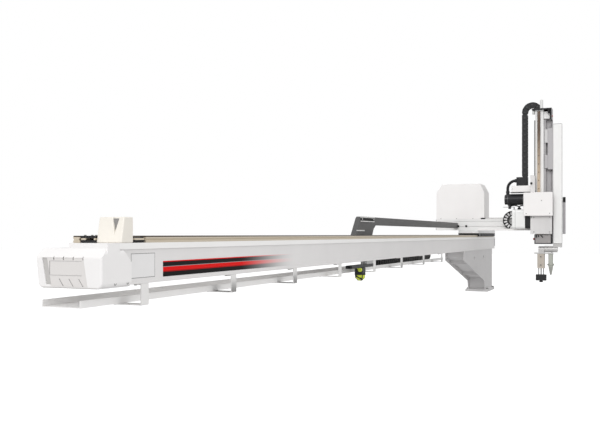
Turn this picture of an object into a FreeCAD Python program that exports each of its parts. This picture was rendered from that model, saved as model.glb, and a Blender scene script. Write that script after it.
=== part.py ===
import FreeCAD, Part
import math
import os
import Sketcher
from FreeCAD import Placement, Rotation, Vector

# Take-out robot of an injection moulding machine, in millimetres.
# X runs along the traverse beam towards the foot, -Y is the side of the vertical arm, Z is up.
# The origin is the centre of the foot's base plate, on its underside.

# Driving sizes. Places are measured from the origin, all other sizes are lengths of one piece.
SIZES = {
    # foot
    "base_front_x": -190, "base_length": 345, "base_width": 180, "base_thick": 20,
    "base_corner": 6, "base_hole_spacing_x": 270, "base_hole_spacing_y": 160,
    "base_hole_radius": 5.5,
    "foot_height": 346, "foot_front_x": -1006, "foot_front_depth": 66, "foot_back_x": 150,
    "knee_x": -200, "knee_height": 89, "gusset_thick": 8, "gusset_hole_radius": 12,
    "gusset_hole_x": -628, "gusset_hole_z": 288, "gusset_hole_pitch": 373,
    "foot_top_thick": 12, "skin_thick": 6, "skin_inset": 22, "rib_thick": 14, "rib_lift": 2,
    "toe_run": 20,
    # traverse beam and its end pieces
    "beam_width": 140, "beam_height": 100,
    "beam_wall": 8, "beam_lip": 16, "beam_low_lip": 6, "beam_recess": 4,
    "beam_end_thick": 8, "beam_end_cut": 22,
    "cover_front_x": -5018, "cover_length": 111, "cover_wall": 4, "cover_side_y": 110,
    "cover_gap": 0.5, "cover_corner": 14, "cover_soft_edge": 5, "cover_seat_length": 66,
    "cover_step": 12, "cover_step_y": 37, "cover_lean": 10, "cover_brow": 22, "cover_back_cut": 30,
    "panel_high_left_y": 84, "panel_high_right_y": -23, "panel_slant": 12, "panel_depth": 1.2,
    "panel_edge": 5, "side_band_width": 14, "name_plate_width": 94, "name_plate_height": 34,
    "name_plate_inset": 7, "name_plate_depth": 1.9, "notch_pitch": 28.4, "notch_width": 3,
    "notch_height": 10, "notch_depth": 3.6, "step_height": 18, "step_depth": 3,
    "entry_x": -4941, "entry_length": 47, "entry_width": 73, "entry_height": 62,
    "entry_lean": 12, "entry_notch_width": 20, "entry_notch_depth": 38, "entry_notch_inset": 24,
    # traverse guides and belt
    "rail_width": 20, "rail_height": 14, "rail_gauge": 114, "rail_waist": 3,
    "rail_near_x": -4838, "left_rail_inset": 4, "rail_far_gap": 10, "rail_end_gap": 22,
    "rail_strip_thick": 3,
    "guide_height": 30, "block_length": 75, "block_width": 44, "block_gap": 5,
    "running_gap": 0.5, "bumper_radius": 7, "bumper_length": 40,
    "belt_width": 24, "belt_thick": 5, "belt_y": 20, "belt_lift": 6, "belt_inset": 7.5,
    "block_inset": 16,
    "belt_clamp_length": 46, "belt_clamp_height": 17, "belt_clamp_width": 42, "belt_clamp_y": 25,
    "clamp_groove_pitch": 9, "clamp_groove_width": 4, "clamp_groove_count": 4,
    # cable tray and hangers
    "tray_near_x": -5007, "tray_end_gap": 5, "tray_side_y": -5, "tray_width": 113,
    "tray_height": 17, "tray_wall": 2, "tray_drop": 51,
    "hanger_first_x": -4862, "hanger_pitch": 450, "hanger_count": 8,
    "hanger_width": 31, "hanger_thick": 3, "hanger_flange": 38,
    # compressed-air regulator
    "air_bar_x": -3350, "air_bar_length": 286, "air_bar_width": 30, "air_bar_height": 14,
    "air_bar_drop": 14, "air_bar_inset": 2, "spacer_x": -3154, "spacer_length": 88,
    "regulator_x": -3204, "regulator_width": 50, "regulator_depth": 38,
    "regulator_body_height": 26, "air_port_radius": 4.3, "air_port_depth": 12,
    "bowl_radius": 24, "bowl_height": 32, "knob_radius": 13, "knob_height": 18,
    "knob_groove_count": 6,
    # energy chains
    "chain_bend_radius": 53, "chain_height": 39, "chain_bend_links": 4, "chain_seat_gap": 0.5,
    "chain_break": 3.9,
    "traverse_chain_width": 30, "traverse_chain_y": 90.5, "traverse_bend_x": -1450,
    "traverse_lower_links": 26, "traverse_upper_links": 59,
    "cross_chain_width": 42, "cross_bend_y": -341,
    "cross_lower_links": 5, "cross_upper_links": 4,
    "arm_chain_width": 50, "arm_chain_y": -441, "arm_bend_z": 1366,
    "arm_chain_links": 11, "arm_chain_hidden_links": 7,
    # traverse carriage
    "carriage_front_x": -510, "carriage_length": 770, "carriage_width": 156, "carriage_thick": 24,
    "housing_length": 85, "housing_width": 150, "drive_flange": 80, "drive_motor_length": 120,
    "box_left_y": 251, "box_right_y": -122, "box_length": 210, "box_height": 276,
    "box_sheet": 3, "drive_edge": 6, "motor_edge": 8, "box_left_cut": 46, "box_right_cut": 34,
    "box_cut_height": 66,
    "box_notch_length": 140, "box_notch_width": 28, "box_notch_height": 11,
    # crosswise beam
    "cross_left_y": 251, "cross_right_y": -640, "cross_width": 120, "cross_height": 84,
    "cross_wall": 7, "slot_width": 8, "slot_depth": 6, "cross_cap": 5,
    "cross_rail_width": 15, "cross_rail_height": 12, "cross_rail_gauge": 69,
    "cross_rail_end_y": -126, "cross_guide_height": 26, "cross_block_length": 60,
    "cross_block_width": 34, "cross_block_gap": 4,
    "chain_shelf_thick": 3, "chain_shelf_depth": 52, "chain_shelf_tongue": 30,
    "chain_shelf_lip": 10, "chain_shelf_gap": 4,
    # cable arm
    "cable_arm_y": 82, "cable_arm_width": 30, "cable_arm_sheet": 3, "cable_arm_z": 515,
    "cable_arm_height": 42, "cable_arm_end_x": -2562, "leg_foot_x": -2874,
    "leg_width": 254, "leg_height": 49, "leg_top_run": 84, "leg_slant_run": 15,
    "leg_slant_drop": 9, "arm_tip_run": 38, "arm_tip_drop": 20, "arm_groove_inset": 110,
    "arm_groove_end": 40, "clamp_length": 210, "clamp_height": 26, "clamp_inset": 62,
    "clamp_thick": 4,
    # saddle on the crosswise beam
    "saddle_left_y": -488, "saddle_width": 149, "saddle_thick": 16, "saddle_wall": 12,
    "saddle_low_z": 470, "saddle_top_z": 774, "back_plate_thick": 15, "back_plate_top_z": 740,
    "tab_right_y": -522, "tab_top_z": 896, "tab_thick": 12,
    "back_plate_right_y": -720, "back_plate_x": -565, "bridge_z": 655, "bridge_thick": 21,
    "bridge_toe": 30, "weld_leg": 14, "bracket_inset": 5, "side_low_cut": 10,
    "saddle_block_inset": 12, "upright_block_gap": 4, "cross_block_right_inset": 8,
    "cross_block_left_inset": 2, "front_rail_offset": 3,
    "front_plate_thick": 15, "saddle_cover_depth": 39, "saddle_cover_left_y": -443,
    "saddle_cover_right_y": -645, "saddle_cover_low_z": 601, "saddle_cover_top_z": 770,
    "saddle_cover_edge": 6,
    "servo_flange": 130, "servo_length": 93, "servo_flange_length": 38, "servo_z": 579,
    "servo_x": -635, "servo_edge": 6, "servo_flange_step": 4,
    "cross_motor_radius": 41, "cross_motor_length": 137, "cross_motor_z": 725,
    "cross_motor_x": -648, "gearbox_length": 51, "gearbox_inset": 2, "motor_case_length": 118,
    "motor_cap_radius": 37,
    "shelf_plate_thick": 4, "shelf_plate_left_y": -342, "shelf_plate_depth": 80,
    "valve_box_height": 47, "valve_box_width": 154, "valve_box_depth": 76, "valve_box_inset": 10,
    "valve_box_corner": 4, "connector_width": 80, "connector_depth": 56,
    "hose_radius": 9, "hose_bend": 58, "hose_sides": 12, "hose_gland_y": -318, "hose_gland_radius": 12,
    "hose_gland_height": 10, "hose_high_z": 865, "hose_offset": 8,
    # lower stage of the vertical arm
    "stage_low_z": 405, "stage_top_z": 1375, "stage_front_x": -665, "stage_depth": 75,
    "stage_right_y": -576, "stage_width": 59, "stage_wall": 4, "stage_corner": 5,
    "stage_web_thick": 6, "stage_web_width": 58,
    "stage_rail_width": 20, "stage_rail_height": 14, "stage_guide_height": 26,
    "side_rail_width": 15, "side_rail_height": 12, "side_rail_x": -635,
    "side_guide_height": 26, "front_rail_end": 10, "side_rail_end": 20,
    "side_rail_gap": 4, "top_bracket_thick": 8, "top_bracket_drop": 76, "top_bracket_left": 22,
    "top_bracket_front": 26, "bottom_frame_lift": 4, "bottom_frame_height": 70,
    "bottom_frame_thick": 4, "bottom_frame_open": 12,
    "pulley_radius": 20, "pulley_width": 12, "pulley_shaft_radius": 5, "pulley_x": -609,
    "pulley_y": -604, "pulley_inset": 36, "stage_belt_thick": 2, "pulley_teeth": 20,
    "belt_block_depth": 38, "belt_block_width": 42, "belt_block_height": 52, "belt_block_drop": 11,
    "drive_belt_width": 24, "drive_belt_thick": 5, "drive_belt_low_z": 474,
    "drive_belt_top_z": 1304,
    "arm_tube_radius": 11, "arm_tube_bore": 8, "arm_tube_floor": 10, "arm_tube_inset": 13,
    "arm_tube_height": 62, "stage_bumper_radius": 9, "left_bumper_length": 28,
    "left_bumper_x": 20, "left_bumper_y": 12, "right_bumper_length": 30, "right_bumper_x": 12,
    "right_bumper_y": 20,
    # upper stage of the vertical arm
    "outer_right_y": -701, "outer_width": 61, "outer_depth": 60, "outer_back_x": -595,
    "outer_low_z": 402, "outer_top_z": 1267, "outer_wall": 4, "outer_corner": 6,
    "slide_upper_z": 1136, "slide_lower_z": 950, "slide_block_length": 98,
    "slide_plate_depth": 22, "slide_plate_edge": 8, "slide_plate_inset": 5, "belt_grip_thick": 6,
    "belt_grip_gap": 0.5, "belt_grip_height": 40, "belt_grip_lift": 60,
    # gripping head
    "drum_radius": 22, "drum_z": 359, "drum_left_y": -578, "drum_right_y": -668,
    "wrist_step": 6, "wrist_inset": 2, "wrist_bore_depth": 30,
    "hub_radius": 20, "hub_length": 40, "hub_gap": 1, "shaft_inside": 24, "head_plate_z": 325,
    "head_plate_thick": 8,
    "head_plate_left_y": -508, "head_plate_right_y": -638, "head_plate_depth": 46,
    "cylinder_left_y": -529, "cylinder_width": 51, "cylinder_depth": 40, "cylinder_height": 106,
    "rod_radius": 4, "piston_radius": 5, "rod_spacing": 34, "rod_show": 46, "rod_inside": 40,
    "product_stroke": 40, "bore_reserve": 4,
    "fit_gap": 0.1, "wheel_gap": 0.3, "tooth_depth": 2.4, "block_bevel": 3,
    "rod_block_height": 44, "rod_block_width": 73, "rod_block_depth": 40, "rod_tip_height": 13,
    "rod_tip_depth": 16, "rod_tip_width": 24,
    "tool_hole_radius": 2.1, "tool_hole_depth": 14, "tool_hole_spacing_x": 26,
    "tool_hole_spacing_y": 58,
    "gripper_y": -622, "gripper_width": 32, "gripper_height": 73, "collar_radius": 24,
    "ear_thick": 4, "ear_height": 14, "jaw_pin_drop": 7, "jaw_pin_end": 3, "jaw_tip_cut": 4,
    "jaw_shoulder": 16, "jaw_head": 5, "collar_height": 12, "jaw_length": 62, "jaw_width": 13,
    "jaw_depth": 18, "jaw_pin_radius": 3,
    "jaw_gap": 0.6,
}


class Size:
    """A length in millimetres together with the expression that gives it."""

    def __init__(self, value, text=None):
        self.value = float(value)
        self.text = text or repr(float(value))

    def mix(self, other, sign, value, flipped=False):
        other = other if isinstance(other, Size) else Size(other)
        first, second = (other, self) if flipped else (self, other)
        return Size(value(first.value, second.value), f"({first.text} {sign} {second.text})")

    def __add__(self, other):
        return self.mix(other, "+", lambda a, b: a + b)

    def __radd__(self, other):
        return self.mix(other, "+", lambda a, b: a + b, True)

    def __sub__(self, other):
        return self.mix(other, "-", lambda a, b: a - b)

    def __rsub__(self, other):
        return self.mix(other, "-", lambda a, b: a - b, True)

    def __mul__(self, other):
        return self.mix(other, "*", lambda a, b: a * b)

    def __rmul__(self, other):
        return self.mix(other, "*", lambda a, b: a * b, True)

    def __truediv__(self, other):
        return self.mix(other, "/", lambda a, b: a / b)

    def __neg__(self):
        return self.mix(0, "-", lambda a, b: a - b, True)


class Sheet:
    """The spreadsheet of driving sizes. Each size is read as an attribute."""

    def __init__(self, document, sizes):
        self.cells = document.addObject("Spreadsheet::Sheet", "Sizes")
        for row, (name, value) in enumerate(sizes.items(), 1):
            self.cells.set(f"A{row}", name)
            self.cells.set(f"B{row}", str(value))
            self.cells.setAlias(f"B{row}", name)
        document.recompute()

    def __getattr__(self, name):
        return Size(self.cells.get(name), f"Sizes.{name}")


doc = FreeCAD.newDocument("TakeOutRobot")
s = Sheet(doc, SIZES)
NODES = []

# Places that several pieces share
base_top = s.base_thick
beam_bottom = s.foot_height
beam_top = s.foot_height + s.beam_height
beam_half = s.beam_width / 2
carriage_low = beam_top + s.guide_height
carriage_top = carriage_low + s.carriage_thick
cross_top = carriage_top + s.cross_height
cross_front_x = s.carriage_front_x
cross_back_x = cross_front_x + s.cross_width
cross_mid_x = cross_front_x + s.cross_width / 2
saddle_low = cross_top + s.cross_guide_height
saddle_right_y = s.saddle_left_y - s.saddle_width
tray_low = beam_bottom - s.tray_drop
stage_left_y = s.stage_right_y + s.stage_width
stage_mid_y = s.stage_right_y + s.stage_width / 2
stage_back_x = s.stage_front_x + s.stage_depth
stage_mid_x = s.stage_front_x + s.stage_depth / 2
head_x = s.outer_back_x - s.outer_depth / 2


# Helpers that bind a feature's sizes to the sheet

def bind(item, name, size):
    if isinstance(size, Size):
        item.setExpression(name, size.text)
    else:
        setattr(item, name, size)


def place(item, at, turn=None):
    item.Placement = Placement(Vector(), turn or Rotation())
    for axis, size in zip("xyz", at):
        size = size if isinstance(size, Size) else Size(size)
        item.setExpression(f"Placement.Base.{axis}", size.text)
    return item


def node(item, label):
    item.Label = label
    NODES.append(item)
    return item


def box(name, corner, lengths):
    item = doc.addObject("Part::Box", name)
    for side, size in zip(("Length", "Width", "Height"), lengths):
        bind(item, side, size)
    return place(item, corner)


TURNS = {
    "Z": Rotation(),
    "Y": Rotation(Vector(1, 0, 0), -90),
    "X": Rotation(Vector(0, 1, 0), 90),
}


def cylinder(name, start, radius, length, axis="Z"):
    item = doc.addObject("Part::Cylinder", name)
    bind(item, "Radius", radius)
    bind(item, "Height", length)
    return place(item, start, TURNS[axis])


def fuse(name, parts):
    item = doc.addObject("Part::MultiFuse", name)
    item.Shapes = parts
    return item


def cut(name, base, tools):
    item = doc.addObject("Part::Cut", name)
    item.Base = base
    item.Tool = tools[0] if len(tools) == 1 else fuse(f"{name}_tools", tools)
    return item


def group(name, parts):
    item = doc.addObject("Part::Compound", name)
    item.Links = parts
    return item


PLANES = {"Z": "XY_Plane", "Y": "XZ_Plane", "X": "YZ_Plane"}


def new_body(name, at=(0, 0, 0)):
    item = doc.addObject("PartDesign::Body", name)
    return place(item, at)


def new_sketch(body, axis, start=0):
    sketch = body.newObject("Sketcher::SketchObject", f"{body.Name}_sketch")
    plane = next(f for f in body.Origin.OriginFeatures if f.Role == PLANES[axis])
    sketch.AttachmentSupport = [(plane, "")]
    sketch.MapMode = "FlatFace"
    start = start if isinstance(start, Size) else Size(start)
    offset = -start if axis == "Y" else start
    sketch.setExpression("AttachmentOffset.Base.z", offset.text)
    return sketch


def fix(sketch, kind, geometry, point, size):
    size = size if isinstance(size, Size) else Size(size)
    index = sketch.addConstraint(Sketcher.Constraint(kind, geometry, point, size.value))
    sketch.setExpression(f"Constraints[{index}]", size.text)


def draw_outline(sketch, points):
    """A closed outline of straight lines, each corner held by its two sizes."""
    values = [tuple(c.value if isinstance(c, Size) else float(c) for c in p) for p in points]
    first = sketch.GeometryCount
    count = len(points)
    for i, start in enumerate(values):
        end = values[(i + 1) % count]
        sketch.addGeometry(Part.LineSegment(Vector(*start, 0), Vector(*end, 0)))
    for i in range(count):
        sketch.addConstraint(
            Sketcher.Constraint("Coincident", first + i, 2, first + (i + 1) % count, 1))
    for i, (across, up) in enumerate(points):
        fix(sketch, "DistanceX", first + i, 1, across)
        fix(sketch, "DistanceY", first + i, 1, up)


def draw_circle(sketch, across, up, radius):
    values = [c.value if isinstance(c, Size) else float(c) for c in (across, up, radius)]
    index = sketch.addGeometry(Part.Circle(Vector(values[0], values[1], 0), Vector(0, 0, 1), values[2]))
    fix(sketch, "DistanceX", index, 3, across)
    fix(sketch, "DistanceY", index, 3, up)
    bound = sketch.addConstraint(Sketcher.Constraint("Radius", index, values[2]))
    sketch.setExpression(f"Constraints[{bound}]", radius.text)


def rectangle(left, low, right, top):
    return [(left, low), (right, low), (right, top), (left, top)]


def pad(body, axis, points, length, start=0):
    """Extrudes an outline along +axis from start."""
    sketch = new_sketch(body, axis, start)
    draw_outline(sketch, points)
    feature = body.newObject("PartDesign::Pad", f"{body.Name}_pad")
    feature.Profile = sketch
    bind(feature, "Length", length)
    feature.Reversed = axis == "Y"
    return feature


def pocket(body, axis, points, length, start=0, circles=()):
    """Cuts an outline or circles along +axis from start."""
    sketch = new_sketch(body, axis, start)
    if points:
        draw_outline(sketch, points)
    for across, up, radius in circles:
        draw_circle(sketch, across, up, radius)
    feature = body.newObject("PartDesign::Pocket", f"{body.Name}_pocket")
    feature.Profile = sketch
    bind(feature, "Length", length)
    feature.Reversed = axis != "Y"
    return feature


def fillet(body, radius, chosen):
    """Rounds the edges of the body's last feature for which chosen(edge) is true."""
    doc.recompute()
    base = body.Tip
    names = [f"Edge{i}" for i, edge in enumerate(base.Shape.Edges, 1) if chosen(edge)]
    feature = body.newObject("PartDesign::Fillet", f"{body.Name}_fillet")
    feature.Base = (base, names)
    bind(feature, "Radius", radius)
    return feature


def bevel(body, size, chosen):
    """Bevels the edges of the body's last feature for which chosen(edge) is true."""
    doc.recompute()
    base = body.Tip
    names = [f"Edge{i}" for i, edge in enumerate(base.Shape.Edges, 1) if chosen(edge)]
    feature = body.newObject("PartDesign::Chamfer", f"{body.Name}_bevel")
    feature.Base = (base, names)
    bind(feature, "Size", size)
    return feature


def along(axis):
    """Chooses straight edges that run along an axis."""
    direction = {"X": Vector(1, 0, 0), "Y": Vector(0, 1, 0), "Z": Vector(0, 0, 1)}[axis]

    def chosen(edge):
        ends = [v.Point for v in edge.Vertexes]
        return len(ends) == 2 and (ends[1] - ends[0]).cross(direction).Length < 1e-6
    return chosen


def repeat(body, feature, axis, pitch, count):
    """A row of copies of a feature along an axis."""
    role = {"X": "X_Axis", "Y": "Y_Axis", "Z": "Z_Axis"}[axis]
    line = next(f for f in body.Origin.OriginFeatures if f.Role == role)
    pattern = body.newObject("PartDesign::LinearPattern", f"{body.Name}_row")
    pattern.Originals = [feature]
    pattern.Direction = (line, [""])
    pattern.Mode = "Spacing"
    bind(pattern, "Offset", pitch)
    bind(pattern, "Occurrences", count)
    body.Tip = pattern
    return pattern


def prism(label, axis, points, length, start=0, round_edges=None, bevel_edges=None):
    """A sub-part of one extruded outline, with its long edges rounded or bevelled if asked."""
    body = new_body(label)
    pad(body, axis, points, length, start)
    if round_edges is not None:
        fillet(body, round_edges, along(axis))
    if bevel_edges is not None:
        bevel(body, bevel_edges, along(axis))
    return body


def tube(label, axis, left, low, right, top, length, start, wall, corner):
    """A rounded rectangular hollow profile."""
    body = prism(label, axis, rectangle(left, low, right, top), length, start, corner)
    pocket(body, axis, rectangle(left + wall, low + wall, right - wall, top - wall), length, start)
    return body


# Foot

def base_plate():
    half = s.base_width / 2
    body = prism("base_plate", "Z", rectangle(s.base_front_x, -half, s.base_front_x + s.base_length,
                                              half), s.base_thick, 0, s.base_corner)
    holes = [(i * s.base_hole_spacing_x / 2, j * s.base_hole_spacing_y / 2, s.base_hole_radius)
             for i in (-1, 1) for j in (-1, 1)]
    pocket(body, "Z", None, s.base_thick, 0, holes)
    return node(body, "base_plate")


foot_top = beam_bottom - s.foot_top_thick
foot_low = beam_bottom - s.foot_front_depth
foot_toe_x = s.knee_x + s.toe_run


def foot_gusset(near_y):
    outline = [
        (s.foot_front_x, foot_low), (s.knee_x, s.knee_height), (foot_toe_x, base_top),
        (s.foot_back_x, base_top), (s.foot_back_x, foot_top), (s.foot_front_x, foot_top)]
    body = prism("foot_gusset", "Y", outline, s.gusset_thick, near_y)
    holes = [(s.gusset_hole_x + s.gusset_hole_pitch * i, s.gusset_hole_z, s.gusset_hole_radius)
             for i in (0, 1)]
    pocket(body, "Y", None, s.gusset_thick, near_y, holes)
    return body


def foot_gussets():
    parts = [foot_gusset(-beam_half), foot_gusset(beam_half - s.gusset_thick)]
    return node(group("foot_gusset_pair", parts), "foot_gussets")


def foot_skin():
    inset = s.skin_inset
    thick = s.skin_thick
    outline = [
        (s.foot_front_x + inset, foot_top), (s.foot_front_x + inset, foot_low + inset),
        (s.knee_x + inset, s.knee_height + inset), (foot_toe_x + inset, base_top),
        (foot_toe_x + inset + thick, base_top), (s.knee_x + inset + thick, s.knee_height + inset + thick),
        (s.foot_front_x + inset + thick, foot_low + inset + thick),
        (s.foot_front_x + inset + thick, foot_top)]
    inner = beam_half - s.gusset_thick
    skin = prism("foot_front_skin", "Y", outline, inner * 2, -inner)
    return node(group("foot_skin_group", [skin] + foot_ribs()), "foot_skin")


# Where the two ribs cross the foot's sloping edge, as shares of its run
RIB_SHARES = (0.18, 0.7)


def foot_ribs():
    """Two short ribs across the foot between its skin and the gussets' lower edges."""
    inner = beam_half - s.gusset_thick
    slope = (foot_low - s.knee_height) / (s.foot_front_x - s.knee_x)
    parts = []
    for share in RIB_SHARES:
        left = s.foot_front_x + (s.knee_x - s.foot_front_x) * share
        low = foot_low + (left - s.foot_front_x) * slope
        right = left + s.rib_thick
        inset = s.skin_inset * (1 - slope)
        lift = low + s.rib_lift
        outline = [(left, lift), (right, lift), (right, low + inset + s.rib_thick * slope),
                   (left, low + inset)]
        parts.append(prism("foot_rib", "Y", outline, inner * 2, -inner))
    return parts


def foot_plates():
    """The plate under the beam and the upright plate at the foot's back."""
    inner = beam_half - s.gusset_thick
    left = s.foot_back_x - s.gusset_thick
    back = box("back_plate", (left, -inner, base_top), (s.gusset_thick, inner * 2, foot_top - base_top))
    top = box("top_plate", (s.foot_front_x, -beam_half, foot_top),
              (s.foot_back_x - s.foot_front_x, s.beam_width, s.foot_top_thick))
    return node(group("foot_plate_pair", [back, top]), "foot_plates")


# Traverse beam and what it carries

cover_seat_x = s.cover_front_x + s.cover_seat_length
beam_near_x = cover_seat_x + s.cover_gap
rail_far_x = s.carriage_front_x + s.carriage_length + s.rail_far_gap
beam_far_x = rail_far_x + s.rail_end_gap
beam_length = beam_far_x - beam_near_x
beam_web = beam_half - s.beam_recess


def traverse_beam():
    lip_top = beam_top - s.beam_lip
    lip_low = beam_bottom + s.beam_low_lip
    outline = [
        (-beam_half, beam_bottom), (beam_half, beam_bottom), (beam_half, lip_low), (beam_web, lip_low),
        (beam_web, lip_top), (beam_half, lip_top), (beam_half, beam_top), (-beam_half, beam_top),
        (-beam_half, lip_top), (-beam_web, lip_top), (-beam_web, lip_low), (-beam_half, lip_low)]
    body = prism("traverse_beam", "X", outline, beam_length, beam_near_x)
    inside = beam_web - s.beam_wall
    pocket(body, "X", rectangle(-inside, beam_bottom + s.beam_wall, inside, beam_top - s.beam_wall),
           beam_length, beam_near_x)
    return node(body, "traverse_beam")


def beam_end_plate():
    cut_off = s.beam_end_cut
    outline = [
        (-beam_half + cut_off, beam_bottom), (beam_half, beam_bottom), (beam_half, beam_top),
        (-beam_half, beam_top), (-beam_half, beam_bottom + cut_off)]
    return node(prism("beam_end_plate", "X", outline, s.beam_end_thick, beam_far_x), "beam_end_plate")


def end_cover():
    """The moulded cap on the free end. Its shell leans outwards on the left, has a sloping brow
    and a raised part in front of the beam, and its side reaches back along the beam."""
    wall = s.cover_wall
    front = s.cover_front_x
    back = front + s.cover_length
    right = -(beam_half + s.cover_gap + wall)
    left = s.cover_side_y
    low = beam_bottom - s.cover_gap - wall
    top = beam_top - s.cover_step
    brow = s.cover_brow
    width = left + s.cover_lean - right
    body = prism("end_cover", "X", [(right, low), (left, low), (left + s.cover_lean, top), (right, top)],
                 s.cover_length, front, s.cover_corner)
    pocket(body, "Y", [(front - 1, top - brow - 1), (front + brow, top), (front + brow, top + 1),
                       (front - 1, top + 1)], width + 2, right - 1)
    fillet(body, s.cover_soft_edge, lambda edge: edge.BoundBox.XMax < front.value + 1e-3)
    pad(body, "X", rectangle(right, top - s.cover_corner, s.cover_step_y, beam_top),
        s.cover_seat_length - brow, front + brow)
    brow_low = top - brow - wall
    pocket(body, "X", rectangle(right + wall, low + wall, left - wall, brow_low),
           s.cover_length - wall, front + wall)
    pocket(body, "X", rectangle(right + wall, brow_low - 1, left - wall, top - wall),
           s.cover_length - brow - wall, front + brow + wall)
    pocket(body, "X", rectangle(right - 1, top - wall - 1, beam_half + s.cover_gap, beam_top + 1),
           s.cover_length - s.cover_seat_length, cover_seat_x)
    cut_low = top - wall - s.cover_back_cut
    pocket(body, "Y", [(back + 1, cut_low - 1), (back + 1, top), (back - s.cover_back_cut, top),
                       (back - s.cover_back_cut, top - wall)], wall + 2, right - 1)
    end_cover_panel(body, low + wall, top - brow)
    return node(body, "end_cover")


def end_cover_panel(body, low, top):
    """The cap's slanted panel with a bare plate, notches along its top and steps along its foot."""
    front = s.cover_front_x
    slant = s.panel_slant
    left = s.panel_high_left_y
    right = s.panel_high_right_y
    depth = s.panel_depth
    band = s.side_band_width
    pocket(body, "X", [(right - slant, low), (left - slant, low), (left, top), (right, top)], depth, front)
    pocket(body, "X", [(left - slant, low + s.panel_edge), (left + band - slant, low + s.panel_edge),
                       (left + band, top), (left, top)], depth * 2, front)
    plate_left = left - s.name_plate_inset
    plate_top = top - s.name_plate_inset
    pocket(body, "X", rectangle(plate_left - s.name_plate_width, plate_top - s.name_plate_height,
                                plate_left, plate_top), s.name_plate_depth, front)
    notch = pocket(body, "X", rectangle(right, top - s.notch_height / 2, right + s.notch_width,
                                        top + s.notch_height / 2), s.notch_depth, front)
    repeat(body, notch, "Y", s.notch_pitch, 4)
    step_top = low + s.step_height
    step_y = right + slant
    step = pocket(body, "X", [(step_y - slant, low + 1), (step_y - slant + s.notch_width, low + 1),
                              (step_y + s.notch_width, step_top), (step_y, step_top)],
                  s.step_depth, front)
    repeat(body, step, "Y", s.notch_pitch, 3)


entry_right_y = -beam_half


def entry_cover():
    """The block behind the end cover where cables enter, with a leaning front and a notch."""
    top = beam_top + s.entry_height
    outline = [(s.entry_x, beam_top), (s.entry_x + s.entry_length, beam_top),
               (s.entry_x + s.entry_length, top), (s.entry_x + s.entry_lean, top)]
    body = prism("entry_cover", "Y", outline, s.entry_width, entry_right_y)
    middle = entry_right_y + s.entry_notch_inset
    notch = [(middle - s.entry_notch_width / 2, top + 1), (middle, top - s.entry_notch_depth),
             (middle + s.entry_notch_width / 2, top + 1)]
    pocket(body, "X", notch, s.entry_length / 2, s.entry_x)
    return node(body, "entry_cover")


# Heights of a running groove's edges and bottom, as shares of the rail's height
GROOVE_LOW, GROOVE_MIDDLE, GROOVE_TOP = 0.35, 0.5, 0.75


def rail_outline(centre, low, width, height, waist):
    """A guide rail's section with its two running grooves."""
    half = width / 2
    neck = half - waist
    groove_low = low + height * GROOVE_LOW
    groove_middle = low + height * GROOVE_MIDDLE
    groove_top = low + height * GROOVE_TOP
    return [
        (centre - half, low), (centre + half, low), (centre + half, groove_low),
        (centre + neck, groove_middle), (centre + half, groove_top),
        (centre + half, low + height), (centre - half, low + height),
        (centre - half, groove_top), (centre - neck, groove_middle), (centre - half, groove_low)]


left_rail_near_x = beam_near_x + s.left_rail_inset


def guide_rails():
    """Both traverse rails, each with the dark strip that covers its screw holes."""
    strip_z = beam_top + s.rail_height
    parts = []
    for side, near_x in ((-1, s.rail_near_x), (1, left_rail_near_x)):
        middle = side * s.rail_gauge / 2
        outline = rail_outline(middle, beam_top, s.rail_width, s.rail_height, s.rail_waist)
        parts.append(prism("guide_rail", "X", outline, rail_far_x - near_x, near_x))
        parts.append(box("rail_strip", (near_x, middle - s.rail_width * 0.45, strip_z),
                         (rail_far_x - near_x, s.rail_width * 0.9, s.rail_strip_thick)))
    return node(group("guide_rail_pair", parts), "guide_rails")


def end_bumpers():
    middle = beam_top + s.bumper_radius
    side = s.rail_gauge / 2
    parts = [cylinder("bumper", (s.rail_near_x - s.bumper_length - 2, -side, middle), s.bumper_radius,
                      s.bumper_length, "X"),
             cylinder("bumper", (rail_far_x + 1, -side, middle), s.bumper_radius,
                      beam_far_x - rail_far_x - 1, "X"),
             cylinder("bumper", (rail_far_x + 1, side, middle), s.bumper_radius,
                      beam_far_x - rail_far_x - 1, "X")]
    return parts


belt_low = beam_top + s.belt_lift
belt_near_x = beam_near_x + s.belt_inset


def traverse_belt():
    start = belt_near_x + s.belt_clamp_length / 2
    end = beam_far_x - s.belt_clamp_length
    return node(box("belt", (start, s.belt_y - s.belt_width / 2, belt_low),
                    (end - start, s.belt_width, s.belt_thick)), "traverse_belt")


def belt_clamps():
    """The ribbed clamp at each end of the belt."""
    right = s.belt_clamp_y - s.belt_clamp_width / 2
    top = beam_top + s.belt_clamp_height
    groove_width = s.clamp_groove_width
    parts = []
    for start in (belt_near_x, beam_far_x - s.belt_clamp_length):
        body = prism("belt_clamp", "X", rectangle(right, beam_top, right + s.belt_clamp_width, top),
                     s.belt_clamp_length, start)
        slot = rectangle(s.belt_y - s.belt_width / 2, belt_low, s.belt_y + s.belt_width / 2,
                         belt_low + s.belt_thick)
        pocket(body, "X", slot, s.belt_clamp_length, start)
        groove = pocket(body, "X", rectangle(right + groove_width, top - groove_width * 0.75,
                                             right + groove_width * 2, top + 1),
                        s.belt_clamp_length, start)
        repeat(body, groove, "Y", s.clamp_groove_pitch, s.clamp_groove_count)
        parts.append(body)
    return parts


def end_stops():
    return node(group("end_stop_group", end_bumpers() + belt_clamps()), "end_stops")


tray_far_x = s.traverse_bend_x + s.chain_bend_radius + s.tray_end_gap


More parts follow.
